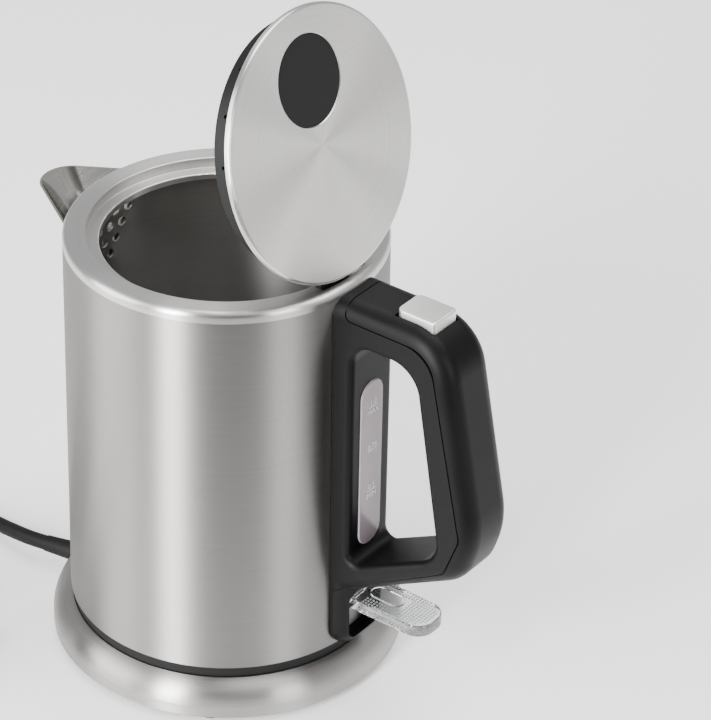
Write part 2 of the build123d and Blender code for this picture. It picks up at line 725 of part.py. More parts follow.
# Spout
def spout_section(height, apex, tip_round, inset):
    """Rounded V in plan, open side inside the body, moved in by an inset."""
    lean = radians(SPOUT_SPLAY)
    apex_x = -apex + inset / sin(lean)
    half_width = (SPOUT_BACK_X - apex_x) * tan(lean)
    outline = FilletPolyline(
        (SPOUT_BACK_X, half_width), (apex_x, 0), (SPOUT_BACK_X, -half_width),
        radius=[0, tip_round, 0], close=True,
    )
    return Plane(origin=(0, 0, height)) * make_face(outline)


def spout_scoop(inset, top):
    """Scoop that narrows from the pouring edge down to its foot on the wall."""
    lean = sin(radians(SPOUT_SPLAY))
    apex = -SPOUT_TIP_X + SPOUT_TIP_ROUND * (1 / lean - 1)
    slope = (apex - SPOUT_FOOT_APEX) / (SPOUT_RIM_Z - SPOUT_UNDER_Z)
    mouth = spout_section(top, apex + slope * (top - SPOUT_RIM_Z), SPOUT_TIP_ROUND - inset, inset)
    foot = spout_section(SPOUT_UNDER_Z, SPOUT_FOOT_APEX, SPOUT_FOOT_ROUND, inset)
    return loft([foot, mouth], ruled=True)


def spout():
    scoop = spout_scoop(0, SPOUT_RIM_Z) - spout_scoop(SPOUT_WALL, SPOUT_RIM_Z + 1)
    scoop -= body_solid(0, SPOUT_UNDER_Z - 10, SPOUT_RIM_Z + 5)
    return scoop.solids().sort_by(SortBy.VOLUME)[-1]


# Handle
def grip_outline():
    """Side view of the whole handle, from the wall out."""
    corner_x, corner_round = GRIP_TOP_CORNER
    points = (
        (HINGE_X, HANDLE_TOP),
        (corner_x, HANDLE_TOP),
        GRIP_BACK[0],
        GRIP_HEEL[0],
        (HINGE_X, arm_foot(HINGE_X)),
    )
    return FilletPolyline(*points, radius=[0, corner_round, GRIP_BACK[1], GRIP_HEEL[1], 0], close=True)


def arm_foot(x):
    """Height of the lower arm's underside at a distance from the axis."""
    (heel_x, heel_z), _ = GRIP_HEEL
    slope = (heel_z - ARM_FOOT_Z) / (heel_x - BODY_TOP_RADIUS)
    return ARM_FOOT_Z + slope * (x - BODY_TOP_RADIUS)


def window_outline():
    """Side view of the finger gap."""
    points = (
        (PLATE_FACE_X, WINDOW_TOP),
        (WINDOW_TOP_X, WINDOW_TOP),
        WINDOW_HEEL,
        (PLATE_FACE_X, WINDOW_FOOT_Z),
    )
    return FilletPolyline(*points, radius=WINDOW_ROUNDS, close=True)


def cover_outline(inset=0.0):
    """Side view of the part of the handle that the outer cover takes, moved in by an inset."""
    start = COVER_START_X + inset
    depth = COVER_DEPTH - inset
    corner_x, _ = GRIP_TOP_CORNER
    (back_x, back_z), _ = GRIP_BACK
    (heel_x, heel_z), _ = GRIP_HEEL
    far = back_x + COVER_DEPTH
    foot = arm_foot(HINGE_X) + depth / 3
    return FilletPolyline(
        (start, HANDLE_TOP + COVER_DEPTH),
        (start, HANDLE_TOP - depth),
        (corner_x - depth, HANDLE_TOP - depth),
        (back_x - depth, back_z),
        (heel_x - depth, heel_z + depth / 3),
        (HINGE_X, foot),
        (HINGE_X, 0),
        (far, 0),
        (far, HANDLE_TOP + COVER_DEPTH),
        radius=[0, depth / 2, 2 * depth, depth, depth, 0, 0, 0, 0],
        close=True,
    )


def handle_blank():
    """Plate and D-shaped grip in one, rounded, with the finger gap."""
    grip = across(grip_outline(), HANDLE_HALF_WIDTH)
    rims = [e for e in grip.edges() if on_side(e.center()) and e.center().X > HINGE_X + 1]
    grip = fillet(rims, HANDLE_EDGE_ROUND)
    plate = block((HINGE_X, PLATE_FACE_X), (-PLATE_HALF_WIDTH, PLATE_HALF_WIDTH), (BODY_BOTTOM, HANDLE_TOP))
    corners = plate.edges().filter_by(Axis.X).group_by(Axis.Z)[0]
    plate = fillet(corners, PLATE_CORNER_ROUND)
    front = plate.faces().sort_by(Axis.X)[-1].edges()
    plate = fillet([e for e in front if e.center().Z < HANDLE_TOP - 1], PLATE_SIDE_ROUND)
    plate = fillet(plate.edges().filter_by(Axis.X).group_by(Axis.Z)[-1], PLATE_TOP_ROUND)
    window = across(window_outline(), HANDLE_HALF_WIDTH + 1)
    grip -= window
    rims = [e for e in grip.edges() if on_side(e.center()) and in_window(e.center())]
    grip = fillet(rims, WINDOW_EDGE_ROUND)
    return plate + grip


def on_side(point):
    """Whether a point lies on one of the grip's flat sides."""
    return abs(abs(point.Y) - HANDLE_HALF_WIDTH) < 0.01


def in_window(point):
    """Whether a point lies on the finger gap's edge rather than the handle's outside."""
    return PLATE_FACE_X - 1 < point.X < WINDOW_HEEL[0] + 1 and WINDOW_FOOT_Z - 1 < point.Z < WINDOW_TOP + 1


def handle_cavity():
    """Hollow inside the arms and the grip."""
    inner = offset(make_face(grip_outline()), -HANDLE_SHELL)
    inner -= offset(make_face(window_outline()), HANDLE_SHELL)
    inner -= Pos(0, 0) * Rectangle(2 * (PLATE_FACE_X + HANDLE_SHELL), 3 * HANDLE_TOP)
    return extrude(Plane.XZ * inner, amount=HANDLE_HALF_WIDTH - HANDLE_SHELL, both=True)


def button_room():
    """Pocket for the lid button, with the latch's channel to the hinge."""
    gap = BUTTON_GAP
    pocket = block(
        (BUTTON_START_X - gap, BUTTON_END_X + gap),
        (-BUTTON_HALF_WIDTH - gap, BUTTON_HALF_WIDTH + gap),
        (POCKET_FLOOR, BUTTON_TOP + 10),
    )
    half = LATCH_HALF_WIDTH + gap
    low = LATCH_BOTTOM - gap
    reach = BUTTON_TRAVEL + gap
    nose = block((HINGE_X, latch_bend() + reach), (-half, half), (low, LATCH_NOSE_TOP + gap))
    bar = block((latch_start(), LATCH_END_X + reach), (-half, half), (low, LATCH_TOP + gap))
    return pocket + nose + bar


def gauge_capsule(half_width, low, high, x_low, x_high):
    """Upright slot shape with round ends, facing +X."""
    outline = Plane.YZ * SlotOverall(high - low, 2 * half_width, rotation=90)
    return Pos(x_low, 0, (low + high) / 2) * extrude(outline, amount=x_high - x_low)


def gauge_port_heights():
    return GAUGE_BOTTOM + GAUGE_PORT_INSET, GAUGE_TOP - GAUGE_PORT_INSET


def gauge_port(height, radius):
    return rod_x(radius, 0, height, BODY_TOP_RADIUS - 8, PLATE_FACE_X - GAUGE_DEPTH)


def gauge_back():
    return PLATE_FACE_X - GAUGE_DEPTH


def gauge_window():
    shell = gauge_capsule(GAUGE_HALF_WIDTH, GAUGE_BOTTOM, GAUGE_TOP, gauge_back(), PLATE_FACE_X + GAUGE_PROUD)
    shell = fillet(shell.faces().sort_by(Axis.X)[-1].edges(), GAUGE_PROUD)
    rim = GAUGE_HALF_WIDTH - GAUGE_BORE_HALF_WIDTH
    start = gauge_back() + (GAUGE_DEPTH - GAUGE_BORE_DEPTH) / 2
    bore = gauge_capsule(
        GAUGE_BORE_HALF_WIDTH, GAUGE_BOTTOM + rim, GAUGE_TOP - rim, start, start + GAUGE_BORE_DEPTH
    )
    ports = [gauge_port(z, GAUGE_PORT_RADIUS) for z in gauge_port_heights()]
    inlets = [rod_x(GAUGE_PORT_RADIUS, 0, z, gauge_back(), start + 0.1) for z in gauge_port_heights()]
    return shell - bore - ports - inlets


def gauge_seals():
    seals = []
    for z in gauge_port_heights():
        inside = body_radius(z) - BODY_WALL - SEAL_THICKNESS
        flange = rod_x(SEAL_RADIUS, 0, z, inside, gauge_back()) - body_solid(0, z - 10, z + 10)
        neck = rod_x(GAUGE_PORT_RADIUS + SEAL_THICKNESS / 2, 0, z, inside, gauge_back())
        seals.append(flange + neck - rod_x(GAUGE_PORT_RADIUS, 0, z, inside - 1, gauge_back()))
    return Compound(seals)


def handle_seal_rooms():
    return [rod_x(SEAL_RADIUS, 0, z, BODY_TOP_RADIUS - 5, gauge_back()) for z in gauge_port_heights()]


def lever_recess():
    """Opening in the foot of the plate for the switch lever."""
    middle = (RECESS_TOP + RECESS_BOTTOM) / 2
    outline = Plane.YZ * RectangleRounded(2 * RECESS_HALF_WIDTH, RECESS_TOP - RECESS_BOTTOM, RECESS_ROUND)
    return Pos(HINGE_X, 0, middle) * extrude(outline, amount=PLATE_FACE_X - HINGE_X + 2)


def handle_screw_shanks():
    """Room for the screws that hold the handle on."""
    return [
        rod_x(HANDLE_SCREW_RADIUS, y, z, HINGE_X - 8, body_radius(z) + HANDLE_SCREW_LENGTH)
        for z in HANDLE_SCREW_HEIGHTS
        for y in (-HANDLE_SCREW_SPREAD, HANDLE_SCREW_SPREAD)
    ]


def handle_screw_seats():
    """Height of each screw pair and the depth of its seat behind the wall's outer face."""
    low, high = HANDLE_SCREW_HEIGHTS
    return (low, BODY_WALL), (high, BODY_WALL + HAIRLINE + BRACKET_BACK)


def handle_screws():
    screws = []
    for z, depth in handle_screw_seats():
        for y in (-HANDLE_SCREW_SPREAD, HANDLE_SCREW_SPREAD):
            seat = sqrt((body_radius(z) - depth) ** 2 - (HANDLE_SCREW_SPREAD + 2 * HANDLE_SCREW_RADIUS) ** 2)
            seat -= HAIRLINE
            head = rod_x(2 * HANDLE_SCREW_RADIUS, y, z, seat - HANDLE_SCREW_HEAD, seat)
            shank = rod_x(HANDLE_SCREW_RADIUS, y, z, seat, body_radius(z) + HANDLE_SCREW_LENGTH)
            screws.append(head + shank)
    return Compound(screws)


def handle_pieces():
    """The frame against the body and the outer cover, from one blank."""
    blank = handle_blank() - body_solid(HAIRLINE, BODY_BOTTOM - 5, RIM_TOP)
    blank = blank - handle_cavity() - button_room() - lever_recess()
    gauge_seat = gauge_capsule(GAUGE_HALF_WIDTH, GAUGE_BOTTOM, GAUGE_TOP, gauge_back(), PLATE_FACE_X + 1)
    blank = blank - gauge_seat - handle_seal_rooms() - handle_screw_shanks()
    blank -= rod_y(LEVER_PIN_RADIUS, *LEVER_PIVOT, -lever_pin_half(), lever_pin_half())
    return blank - cover_room(0), blank & (cover_room(COVER_GROOVE) + cover_core())


def cover_room(inset):
    """Prism that parts the cover from the frame, moved in by an inset."""
    return across(cover_outline(inset), PLATE_HALF_WIDTH + 5)


def cover_core():
    """Where the cover meets the frame, below the groove along the parting line."""
    half = HANDLE_HALF_WIDTH - COVER_GROOVE_DEPTH
    top = HANDLE_TOP - COVER_GROOVE_DEPTH
    return cover_room(0) & block((HINGE_X, 2 * PLATE_FACE_X), (-half, half), (0, top))


def lever_pin_half():
    return RECESS_HALF_WIDTH + LEVER_PIN_SEAT


# Lid button and latch
def latch_start():
    """Tip of the latch nose, a running gap from the hinge barrel."""
    return HINGE_X + BARREL_RADIUS + RUNNING_GAP


def latch_bend():
    return latch_start() + LATCH_NOSE_LENGTH


def release_button():
    top = block(
        (BUTTON_START_X, BUTTON_END_X),
        (-BUTTON_HALF_WIDTH, BUTTON_HALF_WIDTH),
        (BUTTON_FLOOR, BUTTON_TOP),
    )
    top = fillet(top.edges().filter_by(Axis.Z).group_by(Axis.X)[0], BUTTON_CORNER_ROUND)
    top = fillet(top.edges().filter_by(Axis.Z).group_by(Axis.X)[-1], BUTTON_CORNER_ROUND / 2)
    top = fillet(top.faces().sort_by(Axis.Z)[-1].edges(), 0.8)
    return top + across(Polyline(*button_wedge(), close=True), LATCH_HALF_WIDTH / 2 - BUTTON_GAP / 2)


def button_wedge():
    """Rib under the button whose sloping face draws the latch back."""
    depth = BUTTON_FLOOR - LATCH_BOTTOM
    start = BUTTON_START_X + BUTTON_CORNER_ROUND
    return (
        (start, BUTTON_FLOOR),
        (start + depth + 1, BUTTON_FLOOR),
        (start + 1, LATCH_BOTTOM),
        (start, LATCH_BOTTOM),
    )


def latch_slider():
    half = LATCH_HALF_WIDTH
    nose = block((latch_start(), latch_bend()), (-half, half), (LATCH_BOTTOM, LATCH_NOSE_TOP))
    nose -= block((latch_start() - 1, PLATE_FACE_X), (-half, half), (LATCH_BOTTOM - 1, LATCH_NOSE_BOTTOM))
    bar = block((PLATE_FACE_X, LATCH_END_X), (-half, half), (LATCH_BOTTOM, LATCH_TOP))
    start = BUTTON_START_X + BUTTON_CORNER_ROUND
    rise = LATCH_TOP - LATCH_BOTTOM
    gap = BUTTON_GAP
    slot = Polyline(
        (start - BUTTON_TRAVEL - gap, LATCH_BOTTOM - 1), (start + 1 + gap - 1, LATCH_BOTTOM - 1),
        (start + 1 + gap + rise + 1, LATCH_TOP + 1), (start - BUTTON_TRAVEL - gap, LATCH_TOP + 1), close=True,
    )
    return nose + bar - across(slot, LATCH_HALF_WIDTH / 2)


def button_spring():
    x = BUTTON_END_X - BUTTON_SPRING_RADIUS - BUTTON_SPRING_WIRE
    length = BUTTON_FLOOR - POCKET_FLOOR - 2 * BUTTON_SPRING_WIRE - 2 * RUNNING_GAP
    coil = coil_spring(BUTTON_SPRING_RADIUS, BUTTON_SPRING_WIRE, length, BUTTON_SPRING_TURNS)
    return Pos(x, 0, POCKET_FLOOR + BUTTON_SPRING_WIRE + RUNNING_GAP) * coil


# Switch
def lever_profile_bottom():
    return LEVER_TOP - LEVER_THICKNESS


def switch_lever():
    length = LEVER_TIP_X - LEVER_PIVOT[0]
    paddle = Pos(LEVER_PIVOT[0] + length / 2, 0) * Rectangle(length, 2 * LEVER_HALF_WIDTH)
    paddle = fillet(paddle.vertices().group_by(Axis.X)[-1], LEVER_TIP_ROUND)
    lever = Pos(0, 0, lever_profile_bottom()) * extrude(paddle, amount=LEVER_THICKNESS)
    lever = fillet(lever.faces().sort_by(Axis.Z)[-1].edges().sort_by(Axis.X)[1:], LEVER_EDGE_ROUND)
    bar_middle = LEVER_TIP_X - LEVER_BAR_SETBACK - LEVER_BAR_LENGTH / 2
    bar = Pos(bar_middle, 0) * SlotOverall(LEVER_BAR_LENGTH, 2 * LEVER_BAR_HALF_WIDTH)
    lever += Pos(0, 0, LEVER_TOP) * extrude(bar, amount=LEVER_BAR_HEIGHT)
    lever += rod_y(LEVER_HUB_RADIUS, *LEVER_PIVOT, -LEVER_HALF_WIDTH, LEVER_HALF_WIDTH)
    half_tail = LEVER_TAIL_THICKNESS / 2
    lever += block(
        (LEVER_TAIL_X, LEVER_PIVOT[0]),
        (-LEVER_TAIL_HALF_WIDTH, LEVER_TAIL_HALF_WIDTH),
        (LEVER_PIVOT[1] - half_tail, LEVER_PIVOT[1] + half_tail),
    )
    return lever - rod_y(LEVER_PIN_RADIUS + PIN_CLEARANCE, *LEVER_PIVOT, -PLATE_HALF_WIDTH, PLATE_HALF_WIDTH)


def switch_pin():
    return rod_y(LEVER_PIN_RADIUS, *LEVER_PIVOT, -lever_pin_half(), lever_pin_half())


def rocker_room():
    return ROCKER_HALF_WIDTH + RUNNING_GAP


def rocker_ear_end():
    return rocker_room() + ROCKER_EAR


def rocker_arm_heights():
    return CONTROL_TOP - 2 * ROCKER_THICKNESS, CONTROL_TOP - HAIRLINE


def trip_rocker():
    x, z = ROCKER_PIVOT
    hub = rod_y(ROCKER_HUB_RADIUS, x, z, -ROCKER_HALF_WIDTH, ROCKER_HALF_WIDTH)
    low = LEVER_PIVOT[1] + LEVER_TAIL_THICKNESS / 2 + RUNNING_GAP + HAIRLINE
    outer = block((x, x + ROCKER_ARM), (-ROCKER_HALF_WIDTH, ROCKER_HALF_WIDTH), (low, low + ROCKER_THICKNESS))
    inner = block(
        (x - ROCKER_ARM, x),
        (-ROCKER_HALF_WIDTH, ROCKER_HALF_WIDTH),
        (z - ROCKER_THICKNESS / 2, z + ROCKER_THICKNESS / 2),
    )
    bore = rod_y(ROCKER_PIN_RADIUS + PIN_CLEARANCE, x, z, -CONTROL_SIZE[1], CONTROL_SIZE[1])
    return hub + outer + inner - bore


def rocker_pin():
    return rod_y(ROCKER_PIN_RADIUS, *ROCKER_PIVOT, -rocker_ear_end(), rocker_ear_end())


# Hinge
def cheek_start():
    return BARREL_HALF_LENGTH + RUNNING_GAP


def cheek_end():
    return cheek_start() + HINGE_CHEEK


def hinge_bracket():
    outer = body_radius(SEAM_Z) - BODY_WALL - HAIRLINE
    back = disc(outer, BRACKET_FLOOR, BRACKET_TOP) - disc(outer - BRACKET_BACK, BRACKET_FLOOR, BRACKET_TOP)
    back &= block((0, outer), (-cheek_end(), cheek_end()), (BRACKET_FLOOR, BRACKET_TOP))
    cheeks = block((CHEEK_START_X, outer), (-cheek_end(), cheek_end()), (BRACKET_TOP - 3, CHEEK_TOP))
    cheeks -= block((0, outer), (-cheek_start(), cheek_start()), (0, RIM_TOP))
    cheeks &= disc(outer - HAIRLINE - COLLAR_WALL, BRACKET_FLOOR, CHEEK_TOP)
    half = LATCH_HALF_WIDTH + BUTTON_GAP
    room = block((0, outer), (-half, half), (LATCH_NOSE_BOTTOM - BUTTON_GAP, RIM_TOP))
    pin = rod_y(HINGE_PIN_RADIUS, HINGE_X, HINGE_Z, -cheek_end(), cheek_end())
    return back + cheeks - room - pin - handle_screw_shanks()


def hinge_pin():
    return rod_y(HINGE_PIN_RADIUS, HINGE_X, HINGE_Z, -cheek_end(), cheek_end())


def lid_spring():
    """Torsion spring round the hinge pin, beside the lid's barrel."""
    room = BARREL_HALF_LENGTH - BARREL_SPRING_SIDE
    length = room - 2 * (RUNNING_GAP + LID_SPRING_WIRE)
    coil = coil_spring(LID_SPRING_RADIUS, LID_SPRING_WIRE, length, LID_SPRING_TURNS)
    start = BARREL_SPRING_SIDE + RUNNING_GAP + LID_SPRING_WIRE
    return Pos(HINGE_X, start, HINGE_Z) * Rot(-90, 0, 0) * coil


# Lid, drawn closed
SKIN_BOTTOM = LID_TOP - LID_SKIN
EDGE_BOTTOM = LID_TOP - LID_EDGE
FRAME_BOTTOM = EDGE_BOTTOM - LID_FRAME_DEPTH
FRAME_FLANGE = LID_RADIUS - LID_SKIN - HAIRLINE


def opened(shape):
    """Swing a lid piece from closed to the photographed pose."""
    return shape.rotate(Axis((HINGE_X, 0, HINGE_Z), (0, 1, 0)), LID_OPEN_ANGLE)


def lid_cover():
    skin = disc(LID_RADIUS, EDGE_BOTTOM, LID_TOP)
    skin = fillet(skin.edges().group_by(Axis.Z)[-1], LID_ROUND)
    skin -= disc(LID_RADIUS - LID_SKIN, EDGE_BOTTOM, SKIN_BOTTOM)
    hole = INSERT_RADIUS + HAIRLINE
    middle = LID_TOP - INSERT_BEVEL / 2
    bevel = Pos(-INSERT_OFFSET, 0, middle) * Cone(hole, hole + INSERT_BEVEL, INSERT_BEVEL)
    return opened(skin - disc(hole, SKIN_BOTTOM, LID_TOP, -INSERT_OFFSET) - bevel)


def insert_top():
    return LID_TOP - INSERT_RECESS


def lid_insert():
    top = insert_top()
    return opened(disc(INSERT_RADIUS, top - INSERT_THICKNESS, top, -INSERT_OFFSET))


def lid_frame():
    inside = LID_FRAME_RADIUS - LID_FRAME_WALL
    floor = FRAME_BOTTOM + LID_FRAME_WALL
    dish = turned(
        (0, FRAME_BOTTOM),
        (LID_FRAME_RADIUS, FRAME_BOTTOM),
        (LID_FRAME_RADIUS, EDGE_BOTTOM),
        (FRAME_FLANGE, EDGE_BOTTOM),
        (FRAME_FLANGE, SKIN_BOTTOM),
        (inside, SKIN_BOTTOM),
        (inside, floor),
        (0, floor),
    )
    notch_middle = (FRAME_BOTTOM + EDGE_BOTTOM - LID_SEAL_THICKNESS) / 2
    notch = Pos(0, 0, notch_middle) * Box(2 * LID_FRAME_WALL, LID_FRAME_NOTCH_SIZE, LID_FRAME_NOTCH_SIZE)
    places = around(LID_FRAME_NOTCHES, LID_FRAME_RADIUS, 180 / LID_FRAME_NOTCHES)
    notches = [place * notch for place in places]
    root = floor - LID_FRAME_WALL / 2
    post = disc(INSERT_RADIUS - LID_FRAME_WALL, root, insert_top() - INSERT_THICKNESS, -INSERT_OFFSET)
    bosses = [place * disc(2 * LID_SCREW_RADIUS, root, SKIN_BOTTOM - 1) for place in lid_screw_places()]
    arm_start = inside + LID_FRAME_WALL / 2
    arm = block((arm_start, HINGE_X), (-BARREL_HALF_LENGTH, BARREL_SPRING_SIDE), ARM_HEIGHTS)
    barrel = rod_y(BARREL_RADIUS, HINGE_X, HINGE_Z, -BARREL_HALF_LENGTH, BARREL_SPRING_SIDE)
    half = LATCH_HALF_WIDTH + BUTTON_GAP
    catch = block(
        (HINGE_X + BARREL_RADIUS - BARREL_NOTCH_DEPTH, HINGE_X + 2 * BARREL_RADIUS), (-half, half),
        (HINGE_Z - 2 * BARREL_RADIUS, HINGE_Z - BARREL_RADIUS / 4),
    )
    pin = rod_y(HINGE_PIN_RADIUS + PIN_CLEARANCE, HINGE_X, HINGE_Z, -NOTCH_HALF_WIDTH, NOTCH_HALF_WIDTH)
    shanks = [place * lid_screw() for place in lid_screw_places()]
    return opened(dish + post + bosses + arm + barrel - catch - pin - shanks - notches)


def lid_screw_places():
    return around(LID_SCREW_COUNT, LID_SCREW_CIRCLE, 60)


def lid_screw():
    bottom = FRAME_BOTTOM - INNER_PLATE_THICKNESS
    head = disc(2 * LID_SCREW_RADIUS, bottom - LID_SCREW_HEAD, bottom)
    return head + disc(LID_SCREW_RADIUS, bottom, FRAME_BOTTOM + LID_SCREW_LENGTH)


def lid_screws():
    return Compound([opened(place * lid_screw()) for place in lid_screw_places()])


def lid_inner_plate():
    plate = disc(INNER_PLATE_RADIUS, FRAME_BOTTOM - INNER_PLATE_THICKNESS, FRAME_BOTTOM)
    return opened(plate - [place * lid_screw() for place in lid_screw_places()])


def lid_seal():
    low = EDGE_BOTTOM - LID_SEAL_THICKNESS
    ring = disc(LID_FRAME_RADIUS + LID_SEAL_WIDTH, low, EDGE_BOTTOM)
    return opened(ring - disc(LID_FRAME_RADIUS, low, EDGE_BOTTOM))


# Wires from the control to the element's tails
def supply_wires():
    wires = []
    angle = radians(180 - ELEMENT_GAP_ANGLE / 2)
    for side in (-1, 1):
        x, y = ELEMENT_RADIUS * cos(angle), side * ELEMENT_RADIUS * sin(angle)
        top = ELEMENT_Z - ELEMENT_TAIL
        low = top - WIRE_DROP
        edge = -CONTROL_SIZE[0] / 2
        tuck = y * WIRE_TUCK
        points = ((x, y, top), (x, y, low), (edge - WIRE_DROP / 2, tuck, low), (edge, tuck, low))
        path = FilletPolyline(*points, radius=WIRE_BEND)
        section = Plane(origin=points[0], z_dir=(0, 0, -1)) * Circle(WIRE_RADIUS)
        wires.append(sweep(section, path=path))
    return Compound(wires)


# Lead, coil and plug
def coil_points():
    """Two piled layers: a spiral in, a climb of half a turn, and the spiral out again above it."""
    pitch = 2 * CORD_RADIUS + COIL_GAP
    outer = COIL_MIDDLE_RADIUS + pitch * COIL_TURNS / 2
    step = 2 * pi / COIL_STEPS
    spiral = round(COIL_TURNS * COIL_STEPS)
    climb = COIL_STEPS // 2
    points = []
    for i in range(2 * spiral + climb + 1):
        inward = min(i, spiral) - max(0, i - spiral - climb)
        rise = min(max(i - spiral, 0), climb) / climb
        radius = outer - pitch * inward / COIL_STEPS
        angle = radians(COIL_START_ANGLE) + i * step
        x = COIL_CENTRE[0] + radius * cos(angle)
        y = COIL_CENTRE[1] + radius * sin(angle)
        points.append(Vector(x, y, CORD_RADIUS + COIL_LIFT + pitch * rise))
    return points


def tube(points, radius, name, share=0.45):
    """Round tube along straight runs joined by the largest tangent arcs."""
    points = [Vector(*p) for p in points]
    runs = [b - a for a, b in zip(points, points[1:])]
    radii = []
    for before, after in zip(runs, runs[1:]):
        turn = radians(before.get_angle(after))
        radii.append(share * min(before.length, after.length) / tan(turn / 2))
    path = FilletPolyline(*points, radius=radii)
    solid = sweep(Plane(origin=points[0], z_dir=runs[0]) * Circle(radius), path=path)
    print(name, "bend radii", [round(r, 1) for r in radii], "length", round(path.length, 1))
    print(name, "volume", round(solid.volume), "against", round(path.length * pi * radius**2))
    return solid


def least_self_gap(points, radius, spacing=1.0):
    """Least clear gap between stretches of one tube that are a few diameters apart along it."""
    dense = []
    for start, end in zip(points, points[1:]):
        steps = max(1, round((end - start).length / spacing))
        dense += [start + (end - start) * (i / steps) for i in range(steps)]
    apart = round(10 * radius / spacing)
    return min((a - b).length for i, a in enumerate(dense) for b in dense[i + apart :]) - 2 * radius


def lead_points():
    """Route from the strain relief to the coil."""
    coil = coil_points()
    into = (coil[1] - coil[0]).normalized() * COIL_RUN_IN
    start = gland_place(BASE_RADIUS + GLAND_OUT)
    straight = gland_place(BASE_RADIUS + GLAND_OUT + CORD_FIRST_RUN)
    return [start, straight, *CORD_POINTS, coil[0] - into, coil[0]]


def cord_lead():
    return tube(lead_points(), CORD_RADIUS, "cord_lead")


def cord_coil():
    points = coil_points()
    print("cord_coil least gap", round(least_self_gap(points, CORD_RADIUS), 2))
    return tube(points, CORD_RADIUS, "cord_coil", 0.49)


def plug_axis():
    """Plane at the plug's cord entry, looking along the plug."""
    return Plane(origin=PLUG_ENTRY, z_dir=(cos(radians(PLUG_ANGLE)), sin(radians(PLUG_ANGLE)), 0))


def tail_points():
    """Route from the coil to the plug."""
    coil = coil_points()
    away = (coil[-1] - coil[-2]).normalized() * COIL_RUN_IN
    entry = plug_axis().origin
    back = plug_axis().z_dir * -COIL_RUN_IN
    return [coil[-1], coil[-1] + away, *TAIL_POINTS, entry + back, entry]


def cord_tail():
    return tube(tail_points(), CORD_RADIUS, "cord_tail")


def cord_tie():
    """Band round the coil's two strands at one step of the turn."""
    low, high = (coil_points()[step] for step in (TIE_STEP, TIE_STEP + COIL_STEPS))
    centre = Vector(*COIL_CENTRE, low.Z)
    rounding = (low - centre) * (1 - cos(pi / COIL_STEPS))
    middle = (low + high) * 0.5 - rounding
    room_width = 2 * (CORD_RADIUS + TIE_ROOM)
    room_height = high.Z - low.Z + room_width
    room = RectangleRounded(room_width, room_height, CORD_RADIUS)
    band = offset(room, TIE_THICKNESS)
    face = Plane(origin=middle, x_dir=low - centre, z_dir=Vector(0, 0, 1).cross(low - centre))
    return extrude(face * (band - room), amount=TIE_WIDTH / 2, both=True)


def plug_body():
    outline = FilletPolyline(
        (0, 0),
        (PLUG_NECK_RADIUS, 0),
        (PLUG_NECK_RADIUS, PLUG_NECK_LENGTH),
        (PLUG_RADIUS, PLUG_NECK_LENGTH * 2),
        (PLUG_RADIUS, PLUG_LENGTH),
        (0, PLUG_LENGTH),
        radius=PLUG_ROUNDS,
        close=True,
    )
    body = revolve(Plane.XZ * make_face(outline), Axis.Z)
    socket = Pos(0, 0, PLUG_LENGTH) * Cylinder(PLUG_PIN_RADIUS, 2 * PLUG_PIN_ROOT)
    sockets = [Pos(side * PLUG_PIN_SPACING / 2, 0, 0) * socket for side in (-1, 1)]
    return plug_axis() * (body - sockets)


def plug_pins():
    length = PLUG_PIN_LENGTH + PLUG_PIN_ROOT
    pin = Cylinder(PLUG_PIN_RADIUS, length)
    pin = chamfer(pin.edges().group_by(Axis.Z)[-1], PLUG_PIN_BEVEL)
    place = PLUG_LENGTH - PLUG_PIN_ROOT + length / 2
    return Compound([plug_axis() * Pos(side * PLUG_PIN_SPACING / 2, 0, place) * pin for side in (-1, 1)])


def nodes():
    """Every piece by its name."""
    pieces = {build.__name__: build() for build in BUILDERS}
    pieces["handle_frame"], pieces["handle_cover"] = handle_pieces()
    return pieces


BUILDERS = (
    base_shell, base_chassis, base_deck, base_feet, base_screws, base_socket, socket_contacts, socket_shutter,
    cord_gland, cord_clamp, cord_lead, cord_coil, cord_tail, cord_tie, plug_body, plug_pins,
    body_shell, rim_collar, spout, floor_plate, heat_spreader, heating_element, control_unit, control_screws,
    kettle_connector, connector_contacts, bottom_cover, bottom_screws, steam_tube, supply_wires,
    gauge_window, gauge_seals, handle_screws, release_button, latch_slider, button_spring,
    switch_lever, switch_pin, trip_rocker, rocker_pin,
    hinge_bracket, hinge_pin, lid_spring,
    lid_cover, lid_insert, lid_frame, lid_inner_plate, lid_seal, lid_screws,
)


def main():
    """Write one file for each piece."""
    os.makedirs("parts", exist_ok=True)
    for name, shape in nodes().items():
        shape.label = name
        export_step(shape, f"parts/{name}.step")


if __name__ == "__main__":
    main()
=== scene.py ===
"""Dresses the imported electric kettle: finishes, lead, markings, studio and camera.

Frame: metres, +Z up, origin on the base's axis at the table, +X towards the handle.
Sizes in the classes are millimetres and are turned to metres where geometry is made.
"""
from __future__ import annotations

import json
import logging
import math
from dataclasses import dataclass, field
from enum import Enum
from typing import Any, ClassVar

import bmesh
import bpy
from mathutils import Matrix, Vector

